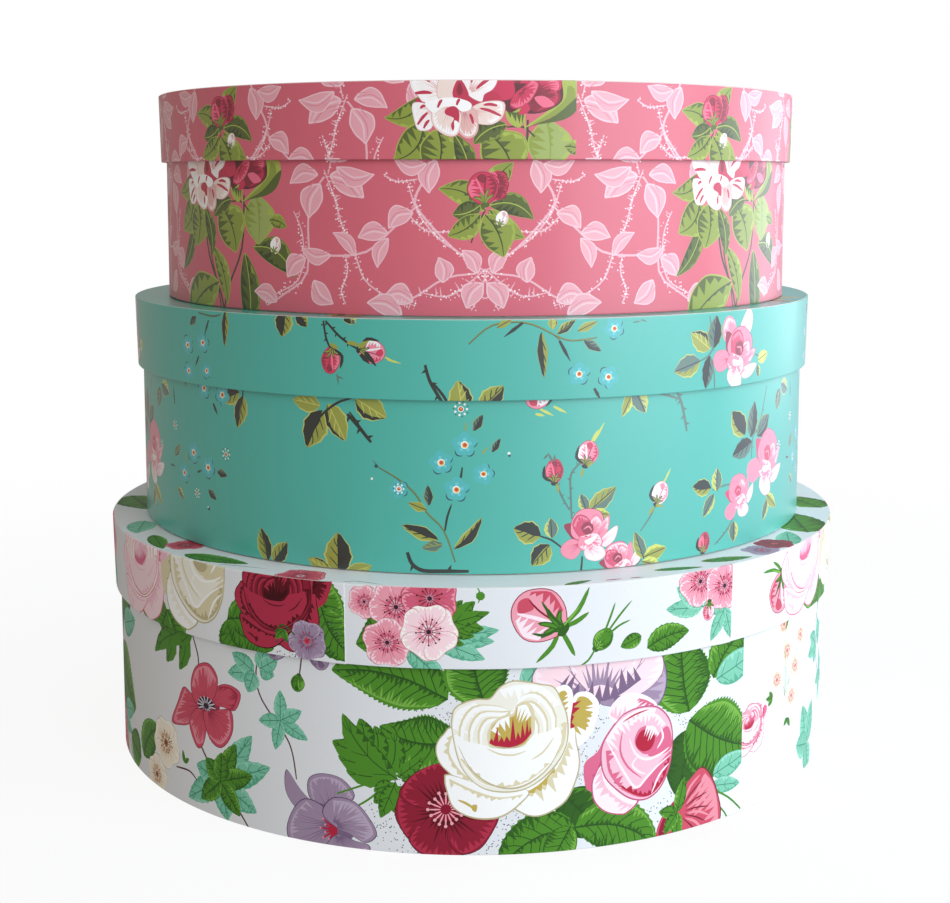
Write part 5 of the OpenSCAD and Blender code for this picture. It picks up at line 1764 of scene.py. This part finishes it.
def add_shell(builder, flat, triangles, inks, cuts, place, thickness, ground, back_ink):
    """Adds a sheet with real thickness: the printed face, a plain back and the paper's edge."""
    base = len(builder["points"])
    spots = [place(p) for p in flat]
    builder["points"] += [spot for spot, _ in spots]
    for triangle, ink in zip(triangles, inks):
        builder["faces"].append([base + k for k in triangle])
        builder["normals"] += [spots[k][1] for k in triangle]
        builder["inks"].append(ink or ground)
        builder["flat"].append([flat[k] for k in triangle])
    loop = edge_loop(triangles)
    rim_points = [Vector((flat[k].real, flat[k].imag)) for k in loop]
    edges = []
    for cut in cuts:
        start = len(rim_points)
        rim_points += [Vector((p.real, p.imag)) for p in cut]
        edges += [(k, k + 1) for k in range(start, len(rim_points) - 1)]
    outline = [list(range(len(loop)))]
    back, _, back_faces, origin, _, _ = delaunay_2d_cdt(rim_points, edges, outline, 1, TOLERANCE, True)
    number, inward = {}, []
    for k, point in enumerate(back):
        spot, normal = place(complex(point.x, point.y))
        inward.append(-normal)
        number[k] = len(builder["points"])
        builder["points"].append(spot - normal * thickness * MM)
        for source in origin[k]:
            if source < len(loop):
                number[("loop", source)] = number[k]
    for face in back_faces:
        builder["faces"].append([number[k] for k in reversed(face)])
        builder["normals"] += [inward[k] for k in reversed(face)]
        builder["inks"].append(back_ink)
        builder["flat"].append([complex(back[k].x, back[k].y) for k in reversed(face)])
    for k in range(len(loop)):
        ahead = (k + 1) % len(loop)
        if ("loop", k) in number and ("loop", ahead) in number:
            face = [base + loop[ahead], base + loop[k], number[("loop", k)], number[("loop", ahead)]]
            builder["faces"].append(face)
            corners = [builder["points"][k] for k in face]
            side = (corners[1] - corners[0]).cross(corners[3] - corners[0]).normalized()
            builder["normals"] += [side] * 4
            builder["inks"].append(back_ink)
            builder["flat"].append([flat[loop[ahead]], flat[loop[k]], flat[loop[k]], flat[loop[ahead]]])


def finished_mesh(name, builder, material):
    """The builder's sheets as one object, with its print, its flat coordinates and its own normals."""
    mesh = bpy.data.meshes.new(name)
    mesh.from_pydata(builder["points"], [], builder["faces"])
    mesh.materials.append(material)
    colours, across = [], []
    for ink, flat in zip(builder["inks"], builder["flat"]):
        colour = linear(INKS[ink])
        for point in flat:
            colours.extend(colour)
            across.extend((point.real * MM, point.imag * MM))
    mesh.color_attributes.new("print", "FLOAT_COLOR", "CORNER").data.foreach_set("color", colours)
    mesh.uv_layers.new(name="sheet").data.foreach_set("uv", across)
    mesh.update()
    mesh.normals_split_custom_set(builder["normals"])
    piece = bpy.data.objects.new(name, mesh)
    bpy.context.scene.collection.objects.link(piece)
    return piece


# ---------------------------------------------------------------------------------------------
# Wrapping a sheet round a hoop
# ---------------------------------------------------------------------------------------------


LAP = 6.0            # a strip laps over the next one by this much
COLUMN = 5.0         # a strip is bent at columns this far apart
FOLD = 0.45          # radius of a fold
FOLD_STEPS = 3


def rounded(corners):
    """A path through corners (r, z) with each inner corner rounded."""
    path = [corners[0]]
    for before, corner, after in zip(corners, corners[1:], corners[2:]):
        back, ahead = before - corner, after - corner
        back, ahead = back / abs(back), ahead / abs(ahead)
        start, end = corner + back * FOLD, corner + ahead * FOLD
        for k in range(FOLD_STEPS + 1):
            t = k / FOLD_STEPS
            path.append(start * (1 - t) ** 2 + 2 * corner * t * (1 - t) + end * t * t)
    path.append(corners[-1])
    return path


class Wrap:
    """How a flat sheet goes round a hoop. Its section is a path of r + z i, in millimetres."""

    def __init__(self, centre, section, zero):
        self.centre = centre
        self.section = section
        lengths = [0.0]
        ways = []
        for a, b in zip(section, section[1:]):
            lengths.append(lengths[-1] + abs(b - a))
            ways.append(-1j * (b - a) * abs(b - a) ** 2)
        self.marks = [length - lengths[zero] for length in lengths]
        self.radius = section[zero].real
        self.round = math.tau * self.radius
        sums = [a + b for a, b in zip(ways + ways[-1:], ways[:1] + ways)]
        self.outward = [way / abs(way) for way in sums]

    def across(self, v):
        """Where v lies in the section, and which way is outward there."""
        k = 0
        while k < len(self.marks) - 2 and v > self.marks[k + 1]:
            k += 1
        t = (v - self.marks[k]) / (self.marks[k + 1] - self.marks[k])
        way = self.outward[k] * (1 - t) + self.outward[k + 1] * t
        return self.section[k] * (1 - t) + self.section[k + 1] * t, way / abs(way)

    def placer(self, end):
        """Where each point of a sheet goes. Its far end laps over the next sheet."""

        def place(point):
            at, outward = self.across(point.imag)
            lift = min(1.0, max(0.0, (point.real - end + 2 * LAP) / LAP))
            at += outward * PAPER * (lift * lift * (3 - 2 * lift))
            turn = point.real / self.radius
            away = Vector((math.sin(turn), -math.cos(turn), 0.0))
            spot = self.centre + away * at.real + Vector((0, 0, at.imag))
            return spot * MM, away * outward.real + Vector((0, 0, outward.imag))

        return place


def hoop_strip(builder, wrap, start, end, shapes, ground):
    """One strip of paper on a hoop: cut, printed, folded over the edges and lapped."""
    low, high = wrap.marks[0], wrap.marks[-1]
    border = [complex(start, low), complex(end, low), complex(end, high), complex(start, high)]
    count = max(2, round((end - start) / COLUMN))
    columns = [start + (end - start) * k / count for k in range(1, count)] + [end - LAP, end - 2 * LAP]
    cuts = [[complex(u, low), complex(u, high)] for u in columns]
    cuts += [[complex(start, v), complex(end, v)] for v in wrap.marks[1:-1]]
    flat, triangles, inks = cut_sheet(border, cuts, shapes)
    add_shell(builder, flat, triangles, inks, cuts, wrap.placer(end), PAPER, ground, "paper back")


def new_builder():
    return {"points": [], "faces": [], "inks": [], "flat": [], "normals": []}


def hoop_papers(name, wrap, joins, arts, ground, material):
    """The strips that go round a hoop. Each runs from one join to the next and laps over it."""
    pieces = []
    for k, (join, art) in enumerate(zip(joins, arts)):
        end = joins[k + 1] if k + 1 < len(joins) else joins[0] + wrap.round
        builder = new_builder()
        hoop_strip(builder, wrap, join - LAP, end, art, ground)
        pieces.append(finished_mesh(f"{name}_{k + 1}", builder, material))
    return pieces


ROUND_CORNERS = 240  # corners of a disc or ring
EDGE_ROUND = 0.5     # width of the pressed edge of a lid's top paper
EDGE_DROP = 0.12     # how far that edge is pressed down
LAP_SLOPE = 1.5      # width of the step beside the turned-over rim paper
LAP_STEP = 0.2       # height of that step


def disc_paper(name, centre, radius, top, lap_radius, shapes, ground, material):
    """A round sheet on a lid: it steps down where it passes the turned-over rim paper."""
    rings = [radius - 0.3 * EDGE_ROUND, radius - EDGE_ROUND, radius - 4, lap_radius, lap_radius - LAP_SLOPE]
    rings += [lap_radius * share for share in (0.75, 0.5, 0.25)]

    def ring(r):
        return [r * aim(360 * k / ROUND_CORNERS) for k in range(ROUND_CORNERS)]

    def height(r):
        edge = max(0.0, r - radius + EDGE_ROUND) / EDGE_ROUND
        step = min(1.0, max(0.0, (lap_radius - r) / LAP_SLOPE))
        return top - EDGE_DROP * edge * edge - LAP_STEP * step * step * (3 - 2 * step)

    def place(point):
        return (centre + Vector((point.real, point.imag, height(abs(point))))) * MM, Vector((0, 0, 1))

    cuts = [ring(r) + [ring(r)[0]] for r in rings]
    flat, triangles, inks = cut_sheet(ring(radius), cuts, shapes)
    builder = new_builder()
    add_shell(builder, flat, triangles, inks, [], place, PAPER, ground, "paper back")
    return finished_mesh(name, builder, material)


# ---------------------------------------------------------------------------------------------
# The boxes
# ---------------------------------------------------------------------------------------------

WALL_FLARE = 0.8     # the foot of a wall stands out this much further than its top
RIM_FLARE = 0.5      # the top of a rim stands out this much further than its lower edge
TURNED = 12.0        # paper turned under the foot, or over the lid's top
TURNED_IN = 15.0     # paper turned in over the wall's top edge
TURNED_LEAN = 0.1    # the turned-in paper's end stands this much further out than at the edge
BOARD = 1.6          # thickness of the greyboard
LID_LAP = 11.5       # the lid's top paper laps over the turned-over paper by this much
LINING_LAP = 10.0    # the lining laps over the turned-in wall paper by this much
LINING_SHORT = 6.0   # the wall leans over about this much more height than its lining covers
JOIN_SHIFT = 60.0    # the joins in a small or medium box's papers stand this far behind its sides


def middle_of(node):
    low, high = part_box(node)
    return Vector(((low.x + high.x) / 2, (low.y + high.y) / 2, 0)) / MM


def wall_wrap(box):
    """The large, medium or small wall's paper: under the foot, up, and in over the top."""
    low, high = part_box(f"{box}_wall_wrap")
    radius, foot, top = (high.x - low.x) / 2 / MM, low.z / MM, high.z / MM
    upper = radius - WALL_FLARE
    inner = upper - BOARD - 2 * PAPER
    section = rounded([
        complex(radius - TURNED, foot), complex(radius, foot), complex(upper, top),
        complex(inner, top), complex(inner + TURNED_LEAN, top - TURNED_IN),
    ])
    return Wrap(middle_of(f"{box}_wall_wrap"), section, FOLD_STEPS + 1)


def rim_wrap(box):
    """The rim's paper: up inside from its lower edge, outside, and over the lid's top."""
    low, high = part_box(f"{box}_rim_wrap")
    radius, foot, top = (high.x - low.x) / 2 / MM, low.z / MM, high.z / MM
    lower = radius - RIM_FLARE
    inner = lower - BOARD - 2 * PAPER
    turned_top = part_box(f"{box}_lid_lining")[0].z / MM - PAPER
    section = rounded([
        complex(inner + RIM_FLARE - TURNED_LEAN, turned_top), complex(inner, foot), complex(lower, foot),
        complex(radius, top), complex(radius - TURNED, top),
    ])
    return Wrap(middle_of(f"{box}_rim_wrap"), section, 2 * (FOLD_STEPS + 1))


def lid_paper(box, shapes, ground, material):
    low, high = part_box(f"{box}_lid_paper")
    radius = (high.x - low.x) / 2 / MM
    piece = disc_paper(
        f"{box}_lid_top_paper", middle_of(f"{box}_lid_paper"), radius, high.z / MM,
        radius - LID_LAP, shapes, ground, material,
    )
    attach(piece, f"{box}_lid")
    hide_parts(f"{box}_lid_paper")
    return piece


def back_joins(half):
    """Where two strips join, left and right, on a hoop that is twice half round."""
    return [-half / 2 - JOIN_SHIFT, half / 2 + JOIN_SHIFT]


def dress_hoop(box, part, body, wrap, joins, arts, ground, material):
    pieces = hoop_papers(f"{box}_{part}_paper", wrap, joins, arts, ground, material)
    for piece in pieces:
        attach(piece, body)
        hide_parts(f"{box}_{part}_wrap")


def large_papers():
    material = printed_paper("white_floral_paper", WHITE_GLOSS)
    wall, rim = wall_wrap("large"), rim_wrap("large")
    join = 137.0
    stretch, beside = 352, 121
    front, side = white_wall_front(), white_wall_side()
    left = placed(front, -stretch)
    ahead = side + placed(front, beside + stretch) + placed(front, beside + 2 * stretch)
    half = wall.round / 2
    dress_hoop("large", "wall", "large_box", wall, [join - half, join],
               [left + front, ahead], "white ground", material)
    first, second = -55.0, 126.0
    back = (first + rim.round + second) / 2
    rim_left = white_rim_left()
    around = white_rim_side() + placed(rim_left, rim.round)
    for at in (470, 830):
        around += placed(rim_left + white_rim_front(), at)
    dress_hoop("large", "rim", "large_lid", rim, [first, second, back],
               [white_rim_front(), around, around], "white ground", material)
    piece = lid_paper("large", white_lid_top(), "white ground", material)


def medium_papers():
    material = printed_paper("teal_floral_paper", TEAL_GLOSS)
    wall, rim = wall_wrap("medium"), rim_wrap("medium")
    block = wall.round / 3
    art = teal_wall_front()
    art = placed(art, -block) + art + placed(art, block) + placed(art, 2 * block)
    half = wall.round / 2
    dress_hoop("medium", "wall", "medium_box", wall, back_joins(half),
               [art, art], "teal ground", material)
    block = rim.round / 3
    art = teal_rim_front()
    art = placed(art, -block) + art + placed(art, block) + placed(art, 2 * block)
    half = rim.round / 2
    dress_hoop("medium", "rim", "medium_lid", rim, back_joins(half),
               [art, art], "teal ground", material)
    piece = lid_paper("medium", teal_lid_top(), "teal ground", material)


def small_papers():
    material = printed_paper("pink_floral_paper", PINK_GLOSS)
    wall, rim = wall_wrap("small"), rim_wrap("small")
    repeat = 267.0
    one = placed(pink_repeat(), 4) + placed(pink_bouquet(), 137 + 37j) + placed(pink_sprig(), 4 + 45j)
    art = []
    for k in (-2, -1, 0, 1, 2, 3):
        art += placed(one, repeat * k)
    half = wall.round / 2
    dress_hoop("small", "wall", "small_box", wall, back_joins(half),
               [art, art], "pink ground", material)
    one = placed(pink_repeat(), 6 - 102j) + placed(pink_repeat(), 6 + 32j)
    one += placed(pink_bouquet(), 6 + 2j) + placed(pink_sprig(), 6 + 133.5 + 12j)
    left, right = [], []
    for k in (-2, -1, 0, 1, 2, 3, 4):
        left += placed(one, repeat * k)
        right += placed(one, repeat * k - 24)
    join = 43.0
    half = rim.round / 2
    dress_hoop("small", "rim", "small_lid", rim, [join - half, join],
               [left, right], "pink ground", material)
    top = []
    for k in (-1, 0, 1):
        across = repeat * k / 2 + 67j * (k % 2)
        top += placed(pink_repeat(), across) + placed(pink_repeat(), across - 134j)
    top += placed(pink_bouquet(), -60 + 30j) + placed(pink_bouquet(), 74 - 37j)
    top += placed(pink_sprig(), 64 + 90j) + placed(pink_sprig(), -70 - 90j)
    piece = lid_paper("small", top, "pink ground", material)


def lining_tree():
    """Geometry Nodes: lining paper stood round a circle, stepping in at its lap, over a disc."""
    tree = bpy.data.node_groups.new("stood_lining", "GeometryNodeTree")
    for name in ("Foot radius", "Top radius", "Foot", "Lap", "Top", "Disc radius", "Thickness"):
        tree.interface.new_socket(name, in_out="INPUT", socket_type="NodeSocketFloat")
    tree.interface.new_socket("Paper", in_out="INPUT", socket_type="NodeSocketMaterial")
    tree.interface.new_socket("Lining", in_out="OUTPUT", socket_type="NodeSocketGeometry")
    inlet = tree.nodes.new("NodeGroupInput")
    size = {socket.name: Wire(tree, socket) for socket in inlet.outputs if socket.name}
    start, thick = Wire(tree, None), size["Thickness"]
    ring = start.node("GeometryNodeCurvePrimitiveCircle", {},
                      {"Resolution": ROUND_CORNERS, "Radius": size["Foot radius"]})
    both = tree.nodes.new("GeometryNodeJoinGeometry")

    def lean(z):
        """How far in from the foot's radius the board's face is at that height."""
        return (size["Foot radius"] - size["Top radius"]) * (z - size["Foot"]) / (size["Top"] - size["Foot"])

    def band(low, high, inset):
        """One strip of paper, inset from the board's face."""
        corners = {}
        around = ((low, inset), (low, inset + thick), (high, inset + thick), (high, inset))
        for k, (z, out) in enumerate(around):
            # on the ring a section's own axes point outwards and down
            turned = {0: (lean(z) + out) * -1, 1: z * -1}
            corners[f"Point {k + 1}"] = start.node("ShaderNodeCombineXYZ", {}, turned)
        section = start.node("GeometryNodeCurvePrimitiveQuadrilateral", {"mode": "POINTS"}, corners)
        strip = start.node("GeometryNodeCurveToMesh", {}, {"Curve": ring, "Profile Curve": section})
        tree.links.new(strip.socket, both.inputs[0])

    band(size["Foot"], size["Lap"], thick * 0)
    band(size["Lap"] - thick, size["Top"], thick)
    disc = start.node("GeometryNodeMeshCylinder", {},
                      {"Vertices": ROUND_CORNERS, "Radius": size["Disc radius"], "Depth": thick})
    drop = start.node("ShaderNodeCombineXYZ", {}, {2: size["Foot"] - thick * 0.5})
    disc = start.node("GeometryNodeTransform", {}, {"Geometry": disc, "Translation": drop})
    tree.links.new(disc.socket, both.inputs[0])
    real = start.node("GeometryNodeRealizeInstances", {}, {0: Wire(tree, both.outputs[0])})
    done = start.node("GeometryNodeSetMaterial", {}, {"Geometry": real, "Material": size["Paper"]})
    tree.links.new(done.socket, tree.nodes.new("NodeGroupOutput").inputs[0])
    return tree


def box_lining(box, tree, material):
    """The lining of a box's wall and base, as one plain mesh."""
    low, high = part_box(f"{box}_wall_lining")
    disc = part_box(f"{box}_base_lining")
    foot, thick = (high.x - low.x) / 2, PAPER * MM
    lean = WALL_FLARE * MM * (high.z - low.z) / (high.z + LINING_SHORT * MM - low.z)
    sizes = {
        "Foot radius": foot, "Top radius": foot - lean,
        "Foot": low.z, "Lap": high.z - LINING_LAP * MM, "Top": high.z,
        "Disc radius": (disc[1].x - disc[0].x) / 2, "Thickness": thick, "Paper": material,
    }
    holder = bpy.data.objects.new("lining", bpy.data.meshes.new("lining"))
    bpy.context.scene.collection.objects.link(holder)
    modifier = holder.modifiers.new("stood_lining", "NODES")
    modifier.node_group = tree
    for socket in tree.interface.items_tree:
        if socket.in_out == "INPUT":
            modifier[socket.identifier] = sizes[socket.name]
    bpy.context.view_layer.update()
    ready = holder.evaluated_get(bpy.context.evaluated_depsgraph_get())
    mesh = bpy.data.meshes.new_from_object(ready)
    bpy.data.objects.remove(holder)
    shape = bmesh.new()
    shape.from_mesh(mesh)
    bmesh.ops.translate(shape, vec=middle_of(f"{box}_wall_lining") * MM, verts=shape.verts)
    bmesh.ops.recalc_face_normals(shape, faces=shape.faces)
    shape.to_mesh(mesh)
    shape.free()
    mesh.materials.clear()
    mesh.materials.append(material)
    piece = bpy.data.objects.new(f"{box}_box_lining", mesh)
    bpy.context.scene.collection.objects.link(piece)
    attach(piece, f"{box}_box")
    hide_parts(f"{box}_wall_lining", f"{box}_base_lining")


def line_boxes(material):
    tree = lining_tree()
    for box in ("large", "medium", "small"):
        box_lining(box, tree, material)


def finish_cad_nodes(lining):
    """Board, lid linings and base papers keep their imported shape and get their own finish."""
    board = greyboard()
    base = plain_paper("base_paper", "#e2dbc9", 0.85)
    for name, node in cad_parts.items():
        if node.hide_render:
            continue
        finish = board if name.endswith("_board") else lining if name.endswith("_lining") else base
        node.data.materials.clear()
        node.data.materials.append(finish)


def lay_floor():
    mesh = bpy.data.meshes.new("floor")
    shape = bmesh.new()
    bmesh.ops.create_circle(shape, cap_ends=True, radius=FLOOR_RADIUS, segments=96)
    shape.to_mesh(mesh)
    shape.free()
    mesh.materials.append(floor_paper())
    floor = bpy.data.objects.new("floor", mesh)
    bpy.context.scene.collection.objects.link(floor)


set_camera()
set_world()
set_light()
lay_floor()
large_papers()
medium_papers()
small_papers()
lining = plain_paper("lining_paper", "#efe9dc")
line_boxes(lining)
finish_cad_nodes(lining)
bpy.context.scene.view_settings.view_transform = "Standard"
